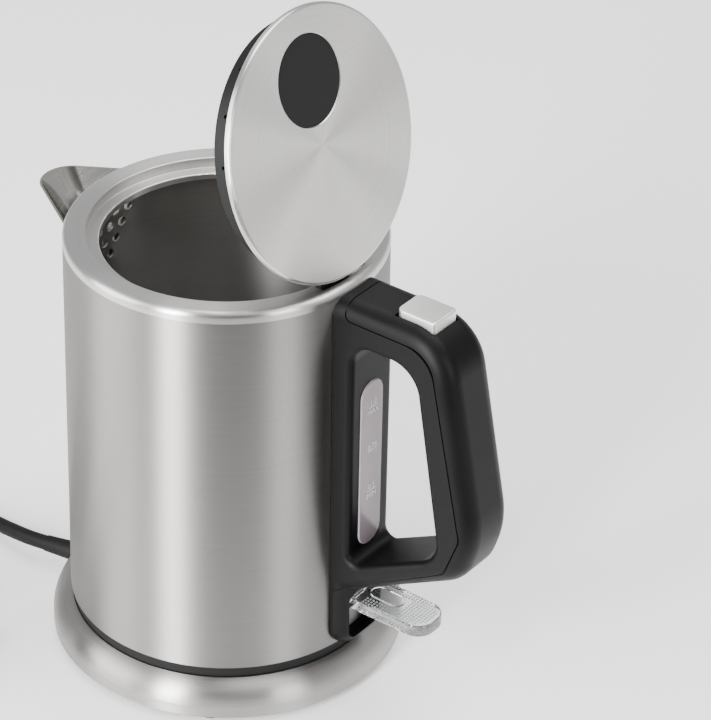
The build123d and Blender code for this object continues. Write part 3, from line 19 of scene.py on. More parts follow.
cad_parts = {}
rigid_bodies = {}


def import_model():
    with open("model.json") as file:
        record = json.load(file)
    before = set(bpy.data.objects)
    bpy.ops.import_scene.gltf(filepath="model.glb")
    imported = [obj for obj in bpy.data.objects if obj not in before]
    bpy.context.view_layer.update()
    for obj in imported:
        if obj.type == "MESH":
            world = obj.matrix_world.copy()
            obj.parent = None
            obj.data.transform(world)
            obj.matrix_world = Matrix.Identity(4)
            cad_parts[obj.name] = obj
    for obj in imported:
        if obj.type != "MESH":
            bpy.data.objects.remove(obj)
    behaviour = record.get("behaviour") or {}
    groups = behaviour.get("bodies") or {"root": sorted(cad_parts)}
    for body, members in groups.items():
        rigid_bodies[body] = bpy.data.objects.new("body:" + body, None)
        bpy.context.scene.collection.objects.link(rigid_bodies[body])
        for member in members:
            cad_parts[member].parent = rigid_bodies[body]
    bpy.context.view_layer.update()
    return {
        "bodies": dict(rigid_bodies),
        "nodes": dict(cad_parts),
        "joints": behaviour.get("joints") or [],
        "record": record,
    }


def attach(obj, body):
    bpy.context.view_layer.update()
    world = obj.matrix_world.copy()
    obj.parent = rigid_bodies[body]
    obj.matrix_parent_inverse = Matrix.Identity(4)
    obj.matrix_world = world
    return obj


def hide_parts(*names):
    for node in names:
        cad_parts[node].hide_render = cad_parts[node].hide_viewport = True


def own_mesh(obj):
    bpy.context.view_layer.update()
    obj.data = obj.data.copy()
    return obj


LOG = logging.getLogger("kettle")
MM = 0.001

LID_OPEN_ANGLE = 74.0
HINGE = Vector((57.9, 0.0, 185.0))


class Body(Enum):
    """Bodies of the record that pieces ride on."""

    BASE = "base"
    KETTLE = "kettle"
    LID = "lid"
    LEVER = "lever"


class Slot(Enum):
    """Material slots of the record."""

    RUBBER = "black_rubber"
    PLASTIC = "black_plastic"
    CLEAR = "clear_plastic"
    PLATED = "plated_steel"


def linear(code: str) -> tuple[float, float, float, float]:
    """Turns an sRGB hex value into a linear colour.

    Args:
        code: Six hex digits after a hash sign.

    Returns:
        Red, green, blue and alpha.
    """
    parts = [int(code[i : i + 2], 16) / 255 for i in (1, 3, 5)]
    red, green, blue = (p / 12.92 if p <= 0.04045 else ((p + 0.055) / 1.055) ** 2.4 for p in parts)
    return red, green, blue, 1.0


def add_node(
    tree: bpy.types.NodeTree, kind: str, inputs: dict[Any, Any] | None = None, **settings: Any
) -> bpy.types.Node:
    """Adds one shader node with its settings and links.

    Args:
        tree: Node tree of the material.
        kind: Blender's name for the node.
        inputs: Socket name or number to a value, or to the output socket that feeds it.
        settings: Attributes of the node.

    Returns:
        The new node.
    """
    node = tree.nodes.new(kind)
    for name, value in settings.items():
        setattr(node, name, value)
    for key, value in (inputs or {}).items():
        if isinstance(value, bpy.types.NodeSocket):
            tree.links.new(value, node.inputs[key])
        else:
            node.inputs[key].default_value = value
    return node


def vector_math(tree: bpy.types.NodeTree, operation: str, inputs: dict[Any, Any]) -> bpy.types.Node:
    """Adds one step of vector arithmetic and returns its node."""
    return add_node(tree, "ShaderNodeVectorMath", inputs, operation=operation)


def multiply_add(tree: bpy.types.NodeTree, value: Any, factor: Any, offset: Any) -> bpy.types.NodeSocket:
    """Adds a node for value times factor plus offset and returns its output."""
    inputs = {0: value, 1: factor, 2: offset}
    return add_node(tree, "ShaderNodeMath", inputs, operation="MULTIPLY_ADD").outputs[0]


def noise(tree: bpy.types.NodeTree, place: bpy.types.NodeSocket, size_mm: float, detail: float) -> Any:
    """Adds a noise whose patches have a real size in millimetres and returns its output."""
    inputs = {"Vector": place, "Scale": 1.0 / (size_mm * MM), "Detail": detail}
    return add_node(tree, "ShaderNodeTexNoise", inputs).outputs["Fac"]


def colour_mix(tree: bpy.types.NodeTree, share: bpy.types.NodeSocket, first: str, second: str) -> Any:
    """Adds a mix of two colours given as hex values and returns its output."""
    inputs = {"Factor": share, "A": linear(first), "B": linear(second)}
    return add_node(tree, "ShaderNodeMix", inputs, data_type="RGBA").outputs["Result"]


def relief(tree: bpy.types.NodeTree, height: bpy.types.NodeSocket, strength: float, depth_mm: float) -> Any:
    """Adds a fine relief of a real depth in millimetres and returns its output."""
    inputs = {"Strength": strength, "Distance": depth_mm * MM, "Height": height}
    return add_node(tree, "ShaderNodeBump", inputs).outputs[0]


def new_material(name: str) -> tuple[bpy.types.Material, bpy.types.NodeTree, bpy.types.Node]:
    """Starts a node material.

    Args:
        name: Name of the material.

    Returns:
        The material, its node tree and its Principled shader.
    """
    material = bpy.data.materials.new(name)
    material.use_nodes = True
    tree = material.node_tree
    return material, tree, tree.nodes["Principled BSDF"]


def lid_place(point: Vector) -> Vector:
    """Place of a point of the closed lid once the lid is open, in millimetres."""
    turn = Matrix.Rotation(math.radians(LID_OPEN_ANGLE), 3, "Y")
    return turn @ (point - HINGE) + HINGE


LID_CENTRE = lid_place(Vector((0.0, 0.0, 190.1)))
UP = Vector((0.0, 0.0, 1.0))
LID_AXIS = Matrix.Rotation(math.radians(LID_OPEN_ANGLE), 3, "Y") @ UP


@dataclass(frozen=True)
class BrushedMetal:
    """Sheet or turned metal with fine lines that run in circles round an axis."""

    name: str
    colour: str
    streak: str
    roughness: float
    spread: float
    anisotropy: float
    line_mm: float
    bump: float
    centre: Vector = field(default_factory=lambda: Vector((0.0, 0.0, 0.0)))
    axis: Vector = field(default_factory=lambda: UP.copy())

    REACH_SHARE: ClassVar[float] = 1.37
    SLOW_MM: ClassVar[float] = 60.0
    LINE_DETAIL: ClassVar[float] = 4.0
    LINE_ROUGHNESS: ClassVar[float] = 0.7
    MOTTLE_MM: ClassVar[float] = 22.0
    MOTTLE_DETAIL: ClassVar[float] = 2.0
    MOTTLE_SHARE: ClassVar[float] = 0.04
    LINE_DEPTH_MM: ClassVar[float] = 0.02
    QUARTER_TURN: ClassVar[float] = 0.25

    def material(self) -> bpy.types.Material:
        """Builds the node material of this finish.

        Returns:
            The material.
        """
        material, tree, shader = new_material(self.name)
        place = add_node(tree, "ShaderNodeTexCoord").outputs["Object"]
        axis = tuple(self.axis)
        arm = vector_math(tree, "SUBTRACT", {0: place, 1: tuple(self.centre * MM)}).outputs[0]
        height = vector_math(tree, "DOT_PRODUCT", {0: arm, 1: axis}).outputs["Value"]
        along = vector_math(tree, "SCALE", {0: axis, "Scale": height}).outputs[0]
        flat = vector_math(tree, "SUBTRACT", {0: arm, 1: along}).outputs[0]
        reach = vector_math(tree, "LENGTH", {0: flat}).outputs["Value"]
        round_way = vector_math(tree, "CROSS_PRODUCT", {0: axis, 1: arm}).outputs[0]
        tangent = add_node(
            tree, "ShaderNodeVectorTransform", {0: round_way},
            vector_type="VECTOR", convert_from="OBJECT", convert_to="WORLD",
        )
        lines = self.lines(tree, flat, reach, height)
        mottle = noise(tree, place, self.MOTTLE_MM, self.MOTTLE_DETAIL)
        rough = multiply_add(tree, lines, self.spread, self.roughness - self.spread / 2)
        rough = multiply_add(tree, mottle, self.MOTTLE_SHARE, rough)
        tree.links.new(colour_mix(tree, lines, self.streak, self.colour), shader.inputs["Base Color"])
        tree.links.new(rough, shader.inputs["Roughness"])
        tree.links.new(relief(tree, lines, self.bump, self.LINE_DEPTH_MM), shader.inputs["Normal"])
        tree.links.new(tangent.outputs[0], shader.inputs["Tangent"])
        shader.inputs["Metallic"].default_value = 1.0
        shader.inputs["Anisotropic"].default_value = self.anisotropy
        shader.inputs["Anisotropic Rotation"].default_value = self.QUARTER_TURN
        return material

    def lines(self, tree: bpy.types.NodeTree, flat: Any, reach: Any, height: Any) -> bpy.types.NodeSocket:
        """Makes the brush lines, which vary with height and reach and only slowly along their circle.

        Args:
            tree: Node tree of the material.
            flat: Output with the place across the axis.
            reach: Output with the distance from the axis.
            height: Output with the place along the axis.

        Returns:
            The output with the lines, from 0 to 1.
        """
        phase = multiply_add(tree, reach, self.REACH_SHARE, height)
        fine = 1.0 / (self.line_mm * MM)
        line = add_node(tree, "ShaderNodeMath", {0: phase, 1: fine}, operation="MULTIPLY")
        slow = vector_math(tree, "SCALE", {0: flat, "Scale": 1.0 / (self.SLOW_MM * MM)})
        parts = add_node(tree, "ShaderNodeSeparateXYZ", {0: slow.outputs[0]})
        route = add_node(
            tree, "ShaderNodeCombineXYZ",
            {0: parts.outputs[0], 1: parts.outputs[1], 2: line.outputs[0]},
        )
        inputs = {
            "Vector": route.outputs[0], "Scale": 1.0,
            "Detail": self.LINE_DETAIL, "Roughness": self.LINE_ROUGHNESS,
        }
        return add_node(tree, "ShaderNodeTexNoise", inputs).outputs["Fac"]


@dataclass(frozen=True)
class Moulded:
    """Moulded plastic or rubber with a fine sparked grain from its mould."""

    name: str
    colour: str
    worn: str
    roughness: float
    gloss: float
    grain_mm: float
    bump: float

    GRAIN_DETAIL: ClassVar[float] = 3.0
    GRAIN_DEPTH_MM: ClassVar[float] = 0.04
    PATCH_MM: ClassVar[float] = 18.0
    PATCH_DETAIL: ClassVar[float] = 3.0
    PATCH_SHARE: ClassVar[float] = 0.14

    def material(self) -> bpy.types.Material:
        """Builds the node material of this finish.

        Returns:
            The material.
        """
        material, tree, shader = new_material(self.name)
        place = add_node(tree, "ShaderNodeTexCoord").outputs["Object"]
        grain = noise(tree, place, self.grain_mm, self.GRAIN_DETAIL)
        patches = noise(tree, place, self.PATCH_MM, self.PATCH_DETAIL)
        rough = multiply_add(tree, patches, self.PATCH_SHARE, self.roughness - self.PATCH_SHARE / 2)
        tree.links.new(colour_mix(tree, patches, self.colour, self.worn), shader.inputs["Base Color"])
        tree.links.new(rough, shader.inputs["Roughness"])
        tree.links.new(relief(tree, grain, self.bump, self.GRAIN_DEPTH_MM), shader.inputs["Normal"])
        shader.inputs["Specular IOR Level"].default_value = self.gloss
        return material


@dataclass(frozen=True)
class ClearMoulding:
    """Clear moulded plastic that lets light through."""

    name: str
    colour: str
    tint: str
    roughness: float
    ior: float
    clearness: float

    FLOW_MM: ClassVar[float] = 9.0
    FLOW_DETAIL: ClassVar[float] = 2.0
    FLOW_SHARE: ClassVar[float] = 0.06

    def material(self) -> bpy.types.Material:
        """Builds the node material of this finish.

        Returns:
            The material.
        """
        material, tree, shader = new_material(self.name)
        place = add_node(tree, "ShaderNodeTexCoord").outputs["Object"]
        flow = noise(tree, place, self.FLOW_MM, self.FLOW_DETAIL)
        rough = multiply_add(tree, flow, self.FLOW_SHARE, self.roughness)
        tree.links.new(colour_mix(tree, flow, self.colour, self.tint), shader.inputs["Base Color"])
        tree.links.new(rough, shader.inputs["Roughness"])
        shader.inputs["Transmission Weight"].default_value = self.clearness
        shader.inputs["IOR"].default_value = self.ior
        return material


Finish = BrushedMetal | Moulded | ClearMoulding


class Finishes:
    """Every finish of the kettle, made once and handed out by name."""

    # Stainless sheet, brushed on a belt round the wall: fine level lines and tall soft highlights
    WALL_STEEL = BrushedMetal(
        "brushed_stainless_wall", colour="#a09e9c", streak="#8b8986",
        roughness=0.45, spread=0.10, anisotropy=0.95, line_mm=0.55, bump=0.35,
    )
    # Stainless ring of the rim, brushed as it spins
    RING_STEEL = BrushedMetal(
        "spun_stainless_ring", colour="#dddbd9", streak="#bfbcb9",
        roughness=0.30, spread=0.12, anisotropy=0.90, line_mm=0.7, bump=0.45,
    )
    # Stainless ring of the base, brushed as it spins, with a coarser belt
    BASE_STEEL = BrushedMetal(
        "spun_stainless_base", colour="#b9b7b5", streak="#989592",
        roughness=0.36, spread=0.14, anisotropy=0.93, line_mm=0.6, bump=0.6,
    )
    # Stainless disc, brushed as it spins: a bow-tie of light that turns with the view
    LID_STEEL = BrushedMetal(
        "spun_stainless_lid", colour="#eceae8", streak="#cdcac7",
        roughness=0.28, spread=0.10, anisotropy=0.93, line_mm=0.6, bump=0.35,
        centre=LID_CENTRE, axis=LID_AXIS,
    )
    # Stainless from deep drawing, polished inside so that water runs off
    SPOUT_STEEL = BrushedMetal(
        "polished_stainless_spout", colour="#c0beba", streak="#aca9a5",
        roughness=0.14, spread=0.08, anisotropy=0.3, line_mm=0.9, bump=0.15,
    )
    # Nickel-plated screws, pins and springs
    PLATED_STEEL = BrushedMetal(
        "nickel_plated_steel", colour="#c9c6c0", streak="#a9a59e",
        roughness=0.28, spread=0.1, anisotropy=0.2, line_mm=0.4, bump=0.2,
    )
    # Cast aluminium under the floor, matt from the mould
    CAST_ALUMINIUM = BrushedMetal(
        "cast_aluminium", colour="#c2c4c6", streak="#9c9ea1",
        roughness=0.48, spread=0.2, anisotropy=0.1, line_mm=0.8, bump=0.5,
    )
    # Drawn brass contacts
    DRAWN_BRASS = BrushedMetal(
        "drawn_brass", colour="#d2b266", streak="#b08d45",
        roughness=0.26, spread=0.12, anisotropy=0.3, line_mm=0.5, bump=0.3,
    )
    # Zinc-plated plastic cap with a satin lacquer
    SILVER_CAP = BrushedMetal(
        "satin_silver_cap", colour="#f0eeec", streak="#e0dedb",
        roughness=0.38, spread=0.06, anisotropy=0.1, line_mm=1.2, bump=0.1,
    )
    # Polypropylene with a fine sparked grain
    HANDLE_PLASTIC = Moulded(
        "black_polypropylene", colour="#060607", worn="#0a0a0b",
        roughness=0.44, gloss=0.14, grain_mm=0.35, bump=0.25,
    )
    # ABS insert of the lid, satin
    INSERT_PLASTIC = Moulded(
        "black_abs_insert", colour="#09090a", worn="#0d0d0f",
        roughness=0.5, gloss=0.24, grain_mm=0.5, bump=0.12,
    )
    # Glass-filled nylon under the base and inside
    INNER_PLASTIC = Moulded(
        "black_filled_nylon", colour="#0b0b0c", worn="#121213",
        roughness=0.55, gloss=0.22, grain_mm=0.5, bump=0.4,
    )
    # Rubber feet and cord jacket
    RUBBER = Moulded(
        "black_rubber", colour="#090909", worn="#0f0f10",
        roughness=0.6, gloss=0.2, grain_mm=0.6, bump=0.4,
    )
    # Dark silicone seals
    SILICONE = Moulded(
        "dark_silicone", colour="#070708", worn="#0c0c0d",
        roughness=0.55, gloss=0.18, grain_mm=0.8, bump=0.2,
    )
    # SAN gauge, milky from light scattered inside it
    GAUGE_PLASTIC = ClearMoulding(
        "milky_san_gauge", colour="#c4b4bc", tint="#b3a4ad",
        roughness=0.16, ior=1.57, clearness=0.35,
    )
    # Clear polycarbonate lever
    LEVER_PLASTIC = ClearMoulding(
        "clear_polycarbonate", colour="#fafafa", tint="#eef0f2",
        roughness=0.05, ior=1.58, clearness=0.97,
    )
    # The same polycarbonate where the mould is frosted: the dots of the tread
    TREAD_PLASTIC = ClearMoulding(
        "frosted_polycarbonate", colour="#a9acae", tint="#9da0a3",
        roughness=0.3, ior=1.58, clearness=0.35,
    )
    # White ink, screen printed
    WHITE_INK = Moulded(
        "white_screen_ink", colour="#fdfdfd", worn="#f8f8f8",
        roughness=0.5, gloss=0.4, grain_mm=0.3, bump=0.05,
    )

    def __init__(self) -> None:
        """Starts with no material made."""
        self._made: dict[str, bpy.types.Material] = {}

    def get(self, finish: Finish) -> bpy.types.Material:
        """Returns the material of a finish, made on its first use."""
        if finish.name not in self._made:
            self._made[finish.name] = finish.material()
        return self._made[finish.name]

    def dress(self, piece: bpy.types.Object, finish: Finish) -> None:
        """Gives a piece one finish in its only material slot."""
        piece.data.materials.clear()
        piece.data.materials.append(self.get(finish))


def new_piece(name: str, shape: bmesh.types.BMesh) -> bpy.types.Object:
    """Turns a finished shape into an object at the origin.

    Args:
        name: Name of the piece.
        shape: The shape in metres, freed here.

    Returns:
        The object.
    """
    bmesh.ops.recalc_face_normals(shape, faces=shape.faces)
    mesh = bpy.data.meshes.new(name)
    shape.to_mesh(mesh)
    shape.free()
    piece = bpy.data.objects.new(name, mesh)
    bpy.context.scene.collection.objects.link(piece)
    return piece


class SubAssembly:
    """A group of solids that are dressed together, with the small pieces that belong to them."""

    PIECES: ClassVar[tuple[tuple[Finish, tuple[str, ...]], ...]] = ()

    def dress(self, frame: dict[str, Any], finishes: Finishes) -> None:
        """Gives every solid of the group its finish.

        Args:
            finishes: The finishes.
        """
        for finish, names in self.PIECES:
            for name in names:
                finishes.dress(frame["nodes"][name], finish)

    def build(self, frame: dict[str, Any], finishes: Finishes) -> None:
        """Dresses the group; a group with small pieces of its own adds them here."""
        self.dress(frame, finishes)


class BasePlinth(SubAssembly):
    """The steel base with its feet, socket and strain relief."""

    PIECES = (
        (Finishes.BASE_STEEL, ("base_shell",)),
        (
            Finishes.INNER_PLASTIC,
            ("base_chassis", "base_deck", "base_socket", "socket_shutter", "cord_clamp"),
        ),
        (Finishes.PLATED_STEEL, ("base_screws",)),
        (Finishes.DRAWN_BRASS, ("socket_contacts",)),
        (Finishes.RUBBER, ("base_feet", "cord_gland")),
    )


class Vessel(SubAssembly):
    """The steel jug with its spout, heater and control."""

    PIECES = (
        (Finishes.WALL_STEEL, ("body_shell", "floor_plate")),
        (Finishes.RING_STEEL, ("rim_collar",)),
        (Finishes.SPOUT_STEEL, ("spout", "steam_tube")),
        (Finishes.CAST_ALUMINIUM, ("heat_spreader", "heating_element")),
        (Finishes.INNER_PLASTIC, ("control_unit", "kettle_connector", "bottom_cover")),
        (Finishes.DRAWN_BRASS, ("connector_contacts",)),
        (Finishes.PLATED_STEEL, ("control_screws", "bottom_screws")),
        (Finishes.RUBBER, ("supply_wires",)),
    )


@dataclass
class Handle(SubAssembly):
    """The handle with its lid button and the water gauge with its printed scale."""

    PIECES: ClassVar = (
        (Finishes.HANDLE_PLASTIC, ("handle_frame", "handle_cover")),
        (Finishes.PLATED_STEEL, ("handle_screws", "button_spring")),
        (Finishes.GAUGE_PLASTIC, ("gauge_window",)),
        (Finishes.SILICONE, ("gauge_seals",)),
        (Finishes.SILVER_CAP, ("release_button",)),
        (Finishes.INNER_PLASTIC, ("latch_slider",)),
    )
    button_travel: float = 3.0
    gauge_face: float = 72.3
    ink: float = 0.04
    middle: float = 0.5
    text_size: float = 3.5
    text_gap: float = 0.7
    letter_steps: int = 3
    word_drop: float = 3.4
    line_length: float = 5.6
    line_height: float = 0.4
    marks: tuple[tuple[float, str, str], ...] = (
        (134.8, "1.0", "MAX"),
        (114.3, "0.75", ""),
        (95.3, "0.5", "MIN"),
    )

    def face(self, height: float) -> Matrix:
        """Place on the gauge's face, upright and turned to the handle, at a height in millimetres."""
        turn = Matrix(((0, 0, 1), (1, 0, 0), (0, 1, 0))).to_4x4()
        return Matrix.Translation(Vector((self.gauge_face + self.ink, self.middle, height)) * MM) @ turn

    def word(self, shape: bmesh.types.BMesh, text: str, height: float) -> None:
        """Adds one printed word to the scale.

        Args:
            shape: The scale so far.
            text: The word or number.
            height: Height of its foot in millimetres.
        """
        curve = bpy.data.curves.new("word", "FONT")
        curve.body = text
        curve.size = self.text_size * MM
        curve.align_x = "CENTER"
        curve.resolution_u = self.letter_steps
        holder = bpy.data.objects.new("word", curve)
        bpy.context.scene.collection.objects.link(holder)
        bpy.context.view_layer.update()
        graph = bpy.context.evaluated_depsgraph_get()
        mesh = bpy.data.meshes.new_from_object(holder.evaluated_get(graph))
        mesh.transform(self.face(height))
        shape.from_mesh(mesh)
        bpy.data.objects.remove(holder)
        bpy.data.curves.remove(curve)
        bpy.data.meshes.remove(mesh)

    def scale(self) -> bpy.types.Object:
        """Makes the printed scale of the water gauge.

        Returns:
            The scale as one piece.
        """
        shape = bmesh.new()
        for height, number, word in self.marks:
            self.word(shape, number, height + self.text_gap)
            if word:
                self.word(shape, word, height - self.word_drop)
            made = bmesh.ops.create_grid(shape, x_segments=1, y_segments=1, size=0.5)["verts"]
            bmesh.ops.scale(shape, verts=made, vec=(self.line_length * MM, self.line_height * MM, 1.0))
            bmesh.ops.transform(shape, verts=made, matrix=self.face(height))
        return new_piece("gauge_scale", shape)

    def spring(self, frame: dict[str, Any]) -> bpy.types.Object:
        """Makes the spring under the lid button from a copy of the part's spring.

        Returns:
            The spring as one piece, on its body.
        """
        spring = bpy.data.objects.new("lid_button_spring", frame["nodes"]["button_spring"].data.copy())
        bpy.context.scene.collection.objects.link(spring)
        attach(spring, Body.KETTLE.value)
        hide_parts("button_spring")
        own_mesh(spring)
        return spring

    def build(self, frame: dict[str, Any], finishes: Finishes) -> None:
        """Dresses the handle, adds its spring and prints the scale."""
        self.dress(frame, finishes)
        finishes.dress(self.spring(frame), Finishes.PLATED_STEEL)
        scale = self.scale()
        finishes.dress(scale, Finishes.WHITE_INK)
        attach(scale, Body.KETTLE.value)


@dataclass
class Switch(SubAssembly):
    """The clear switch lever with its dotted tread, and the rocker that it tips."""

    PIECES: ClassVar = (
        (Finishes.LEVER_PLASTIC, ("switch_lever",)),
        (Finishes.PLATED_STEEL, ("switch_pin", "rocker_pin")),
        (Finishes.INNER_PLASTIC, ("trip_rocker",)),
    )
    top: float = 46.9
    dot_radius: float = 0.52
    dot_sides: int = 6
    dot_rings: int = 4
    dot_sink: float = 0.14
    spacing: float = 1.45
    start: float = 76.0
    end: float = 103.6
    half_width: float = 8.0
    tip_round: float = 7.5
    tip: float = 105.0
    bar: tuple[float, float] = (73.5, 90.6)
    bar_half_width: float = 4.1

    def on_tread(self, x: float, y: float) -> bool:
        """Whether a dot fits there: on the paddle, inside its round tip and off the raised bar."""
        if self.bar[0] < x < self.bar[1] and abs(y) < self.bar_half_width:
            return False
        over_x = x - (self.tip - self.tip_round)
        over_y = abs(y) - (self.half_width + self.dot_radius - self.tip_round)
        return over_x < 0 or over_y < 0 or math.hypot(over_x, over_y) < self.tip_round - self.dot_radius

    def tread(self) -> bpy.types.Object:
        """Makes the grid of small domes on the lever.

        Returns:
            The tread as one piece.
        """
        shape = bmesh.new()
        rows = int(2 * self.half_width / self.spacing) + 1
        columns = int((self.end - self.start) / self.spacing) + 1
        for column in range(columns):
            for row in range(rows):
                x = self.start + column * self.spacing
                y = (row - (rows - 1) / 2) * self.spacing
                if self.on_tread(x, y):
                    place = Matrix.Translation(Vector((x, y, self.top - self.dot_sink)) * MM)
                    bmesh.ops.create_uvsphere(
                        shape, u_segments=self.dot_sides, v_segments=self.dot_rings,
                        radius=self.dot_radius * MM, matrix=place,
                    )
        return new_piece("lever_tread", shape)

    def build(self, frame: dict[str, Any], finishes: Finishes) -> None:
        """Dresses the lever and adds its tread."""
        self.dress(frame, finishes)
        tread = self.tread()
        finishes.dress(tread, Finishes.TREAD_PLASTIC)
        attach(tread, Body.LEVER.value)


class Lid(SubAssembly):
    """The lid on its hinge."""

    PIECES = (
        (Finishes.LID_STEEL, ("lid_cover", "lid_inner_plate")),
        (Finishes.INSERT_PLASTIC, ("lid_insert", "lid_frame")),
        (Finishes.SILICONE, ("lid_seal",)),
        (Finishes.PLATED_STEEL, ("lid_screws", "hinge_pin", "lid_spring", "hinge_bracket")),
    )


@dataclass
class Lead(SubAssembly):
    """The mains lead, on its route from the strain relief through the coil to the plug."""

    PIECES: ClassVar = (
        (Finishes.RUBBER, ("cord_lead", "cord_coil", "cord_tail", "cord_tie")),
        (Finishes.INNER_PLASTIC, ("plug_body",)),
        (Finishes.PLATED_STEEL, ("plug_pins",)),
    )
    cord_radius: float = 3.2
    round_steps: int = 6
    run_steps: int = 10
    gland_angle: float = 192.0
    gland_height: float = 8.6
    gland_end: float = 86.6
    first_run: float = 7.5
    run_points: tuple[tuple[float, float, float], ...] = (
        (-99.5, -19.4, 7.9),
        (-110.0, -17.9, 6.0),
        (-123.0, -16.4, 4.6),
    )
    coil_centre: tuple[float, float] = (-166.0, -58.0)
    coil_middle: float = 35.0
    coil_gap: float = 2.2
    coil_turns: float = 1.0
    coil_steps: int = 12
    coil_start: float = 75.0
    coil_lift: float = 1.2
    coil_run: float = 14.0
    tail_points: tuple[tuple[float, float, float], ...] = (
        (-152.2, -110.2, 14.8),
        (-137.0, -112.8, 16.8),
    )
    plug_entry: tuple[float, float, float] = (-108.0, -110.2, 18.0)
    plug_angle: float = 8.0
    real_length: float = 0.66

    def gland_place(self, distance: float) -> Vector:
        """Point on the exit line at a distance from the base's axis, in millimetres."""
        angle = math.radians(self.gland_angle)
        return Vector((distance * math.cos(angle), distance * math.sin(angle), self.gland_height))

    def coil(self) -> list[Vector]:
        """Works out the two piled layers of the coil.

        Returns:
            The control points in millimetres: a spiral in, a climb of half a turn, the spiral out.
        """
        pitch = 2 * self.cord_radius + self.coil_gap
        outer = self.coil_middle + pitch * self.coil_turns / 2
        spiral = round(self.coil_turns * self.coil_steps)
        climb = self.coil_steps // 2
        points = []
        for i in range(2 * spiral + climb + 1):
            inward = min(i, spiral) - max(0, i - spiral - climb)
            rise = min(max(i - spiral, 0), climb) / climb
            radius = outer - pitch * inward / self.coil_steps
            angle = math.radians(self.coil_start) + i * math.tau / self.coil_steps
            x = self.coil_centre[0] + radius * math.cos(angle)
            y = self.coil_centre[1] + radius * math.sin(angle)
            points.append(Vector((x, y, self.cord_radius + self.coil_lift + pitch * rise)))
        return points

    def route(self) -> list[Vector]:
        """Control points from the strain relief to the plug, in millimetres."""
        coil = self.coil()
        into = (coil[1] - coil[0]).normalized() * self.coil_run
        away = (coil[-1] - coil[-2]).normalized() * self.coil_run
        angle = math.radians(self.plug_angle)
        back = Vector((math.cos(angle), math.sin(angle), 0.0)) * -self.coil_run
        entry = Vector(self.plug_entry)
        points = [self.gland_place(self.gland_end), self.gland_place(self.gland_end + self.first_run)]
        points += [Vector(p) for p in self.run_points]
        points += [coil[0] - into, *coil, coil[-1] + away]
        points += [Vector(p) for p in self.tail_points]
        return points + [entry + back, entry]

    def build(self, frame: dict[str, Any], finishes: Finishes) -> None:
        """Args:
            finishes: The finishes.
        """
        self.dress(frame, finishes)
        points = [p * MM for p in self.route()]
        curve = bpy.data.curves.new("mains_lead", "CURVE")
        curve.dimensions = "3D"
        curve.bevel_depth = self.cord_radius * MM
        curve.bevel_resolution = self.round_steps
        curve.use_fill_caps = True
        curve.resolution_u = self.run_steps
        spline = curve.splines.new("NURBS")
        spline.points.add(len(points) - 1)
        for knot, point in zip(spline.points, points):
            knot.co = (*point, 1.0)
        spline.order_u = 3
        spline.use_endpoint_u = True
        cord = bpy.data.objects.new("mains_lead", curve)
        bpy.context.scene.collection.objects.link(cord)
        finishes.dress(cord, Finishes.RUBBER)
        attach(cord, Body.BASE.value)
        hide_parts("cord_lead", "cord_coil", "cord_tail")


@dataclass(frozen=True)
class SoftBox:
    """One soft box: its bearing from the kettle in degrees, and the rest in metres and watts."""

    name: str
    bearing: float
    distance: float
    height: float
    size: tuple[float, float]
    power: float


SOFT_BOXES = (
    SoftBox("key_strip", -87.0, 1.5, 0.55, (0.32, 1.3), 62.0),
    SoftBox("left_soft_box", -130.0, 1.6, 0.7, (1.1, 1.4), 30.0),
    SoftBox("right_soft_box", -14.0, 1.6, 0.6, (0.5, 1.2), 12.0),
    SoftBox("top_soft_box", 60.0, 0.5, 1.8, (1.4, 1.4), 34.0),
)


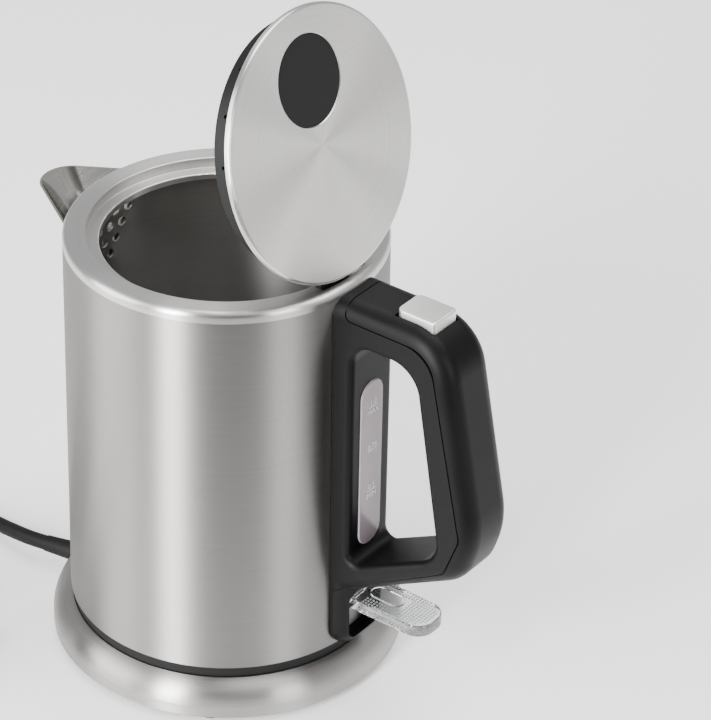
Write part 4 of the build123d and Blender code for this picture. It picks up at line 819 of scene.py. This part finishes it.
@dataclass
class Studio:
    """Pale floor, soft light and the camera at the photograph's view."""

    floor_size: float = 6.0
    front: tuple[float, float, float] = (0.63, -0.777, 0.0)
    # Painted shade on the floor: from front_shade's start to its end along front, the floor goes from
    # floor_colour to shaded_colour, so the steel mirrors a dark band.
    front_shade: tuple[float, float] = (0.12, 0.36)
    floor_colour: str = "#f2f2f1"
    shaded_colour: str = "#6a6a6a"
    floor_glow: float = 0.4
    floor_roughness: float = 0.7
    aim: Vector = field(default_factory=lambda: Vector((0.0, 0.0, 0.12)))
    camera_place: Vector = field(default_factory=lambda: Vector((0.7176, -0.8838, 0.8655)))
    camera_right: Vector = field(default_factory=lambda: Vector((0.80386, 0.59482, 0.0)))
    camera_up: Vector = field(default_factory=lambda: Vector((-0.32359, 0.43731, 0.83909)))
    camera_roll: float = 0.021
    lens_mm: float = 170.0
    sensor_mm: float = 36.0
    view_end: float = 20.0
    room_colour: str = "#f1f2f4"
    room_level: float = 0.75
    dim_range: tuple[float, float] = (0.62, 0.93)
    dim_side: float = 0.05

    def floor(self) -> bpy.types.Object:
        """Makes the floor.

        Returns:
            The floor.
        """
        mesh = bpy.data.meshes.new("studio_floor")
        shape = bmesh.new()
        bmesh.ops.create_grid(shape, x_segments=2, y_segments=2, size=self.floor_size / 2)
        shape.to_mesh(mesh)
        shape.free()
        floor = bpy.data.objects.new("studio_floor", mesh)
        bpy.context.scene.collection.objects.link(floor)
        mesh.materials.append(self.floor_material())
        return floor

    def floor_material(self) -> bpy.types.Material:
        """Makes the floor's material: pale, with painted shade in front that turns it grey there and gives
        the steel its dark band.

        Returns:
            The material.
        """
        material, tree, shader = new_material("pale_floor")
        place = add_node(tree, "ShaderNodeTexCoord").outputs["Object"]
        forward = vector_math(tree, "DOT_PRODUCT", {0: place, 1: self.front})
        # Painted shade: the floor darkens smoothly in front of the kettle, in colour and in glow alike.
        start, end = self.front_shade
        shade = add_node(
            tree, "ShaderNodeMapRange",
            {"Value": forward.outputs["Value"], "From Min": start, "From Max": end},
            interpolation_type="SMOOTHSTEP",
        )
        mix = colour_mix(tree, shade.outputs["Result"], self.floor_colour, self.shaded_colour)
        tree.links.new(mix, shader.inputs["Base Color"])
        tree.links.new(mix, shader.inputs["Emission Color"])
        shader.inputs["Emission Strength"].default_value = self.floor_glow
        shader.inputs["Roughness"].default_value = self.floor_roughness
        return material

    def light(self, box: SoftBox) -> None:
        """Adds one soft box, facing the kettle."""
        bearing = math.radians(box.bearing)
        place = Vector((math.cos(bearing) * box.distance, math.sin(bearing) * box.distance, box.height))
        lamp = bpy.data.lights.new(box.name, "AREA")
        lamp.shape = "RECTANGLE"
        lamp.size, lamp.size_y = box.size
        lamp.energy = box.power
        holder = bpy.data.objects.new(box.name, lamp)
        holder.location = place
        holder.rotation_euler = (self.aim - place).to_track_quat("-Z", "Y").to_euler()
        bpy.context.scene.collection.objects.link(holder)

    def lights(self) -> None:
        """Sets the soft boxes and the room's own light."""
        for box in SOFT_BOXES:
            self.light(box)
        self.room()

    def room(self) -> None:
        """Makes the room's even light, a little dimmer on the camera's side."""
        world = bpy.data.worlds.new("studio_room")
        world.use_nodes = True
        tree = world.node_tree
        way = add_node(tree, "ShaderNodeTexCoord").outputs["Generated"]
        facing = vector_math(tree, "DOT_PRODUCT", {0: way, 1: self.front})
        start, end = self.dim_range
        shade = add_node(
            tree, "ShaderNodeMapRange",
            {
                "Value": facing.outputs["Value"], "From Min": start, "From Max": end,
                "To Min": 1.0, "To Max": self.dim_side,
            },
            interpolation_type="SMOOTHSTEP",
        )
        backdrop = tree.nodes["Background"]
        backdrop.inputs["Color"].default_value = linear(self.room_colour)
        level = add_node(
            tree, "ShaderNodeMath", {0: shade.outputs["Result"], 1: self.room_level}, operation="MULTIPLY"
        )
        tree.links.new(level.outputs[0], backdrop.inputs["Strength"])
        bpy.context.scene.world = world

    def camera(self) -> bpy.types.Object:
        """Sets the camera at the photograph's view.

        Returns:
            The camera.
        """
        roll = self.camera_roll
        right = math.cos(roll) * self.camera_right + math.sin(roll) * self.camera_up
        up = math.cos(roll) * self.camera_up - math.sin(roll) * self.camera_right
        back = right.cross(up)
        lens = bpy.data.cameras.new("photo_camera")
        lens.lens = self.lens_mm
        lens.sensor_width = self.sensor_mm
        lens.sensor_fit = "AUTO"
        lens.clip_end = self.view_end
        camera = bpy.data.objects.new("photo_camera", lens)
        turn = Matrix((right, up, back)).transposed()
        camera.matrix_world = Matrix.Translation(self.camera_place) @ turn.to_4x4()
        bpy.context.scene.collection.objects.link(camera)
        bpy.context.scene.camera = camera
        return camera

    def build(self) -> None:
        """Sets up the whole studio."""
        self.floor()
        self.lights()
        self.camera()


def main() -> None:
    """Dresses the kettle and sets the studio."""
    logging.basicConfig(level=logging.INFO, format="%(name)s: %(message)s")
    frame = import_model()
    Studio().build()
    finishes = Finishes()
    groups = (BasePlinth(), Vessel(), Handle(), Switch(), Lid(), Lead())
    for group in groups:
        group.build(frame, finishes)
        LOG.info("dressed %s", type(group).__name__)
    dressed = {name for group in groups for _, names in group.PIECES for name in names}
    LOG.info("nodes without a finish: %s", sorted(set(frame["nodes"]) - dressed))


if __name__ == "__main__":
    main()
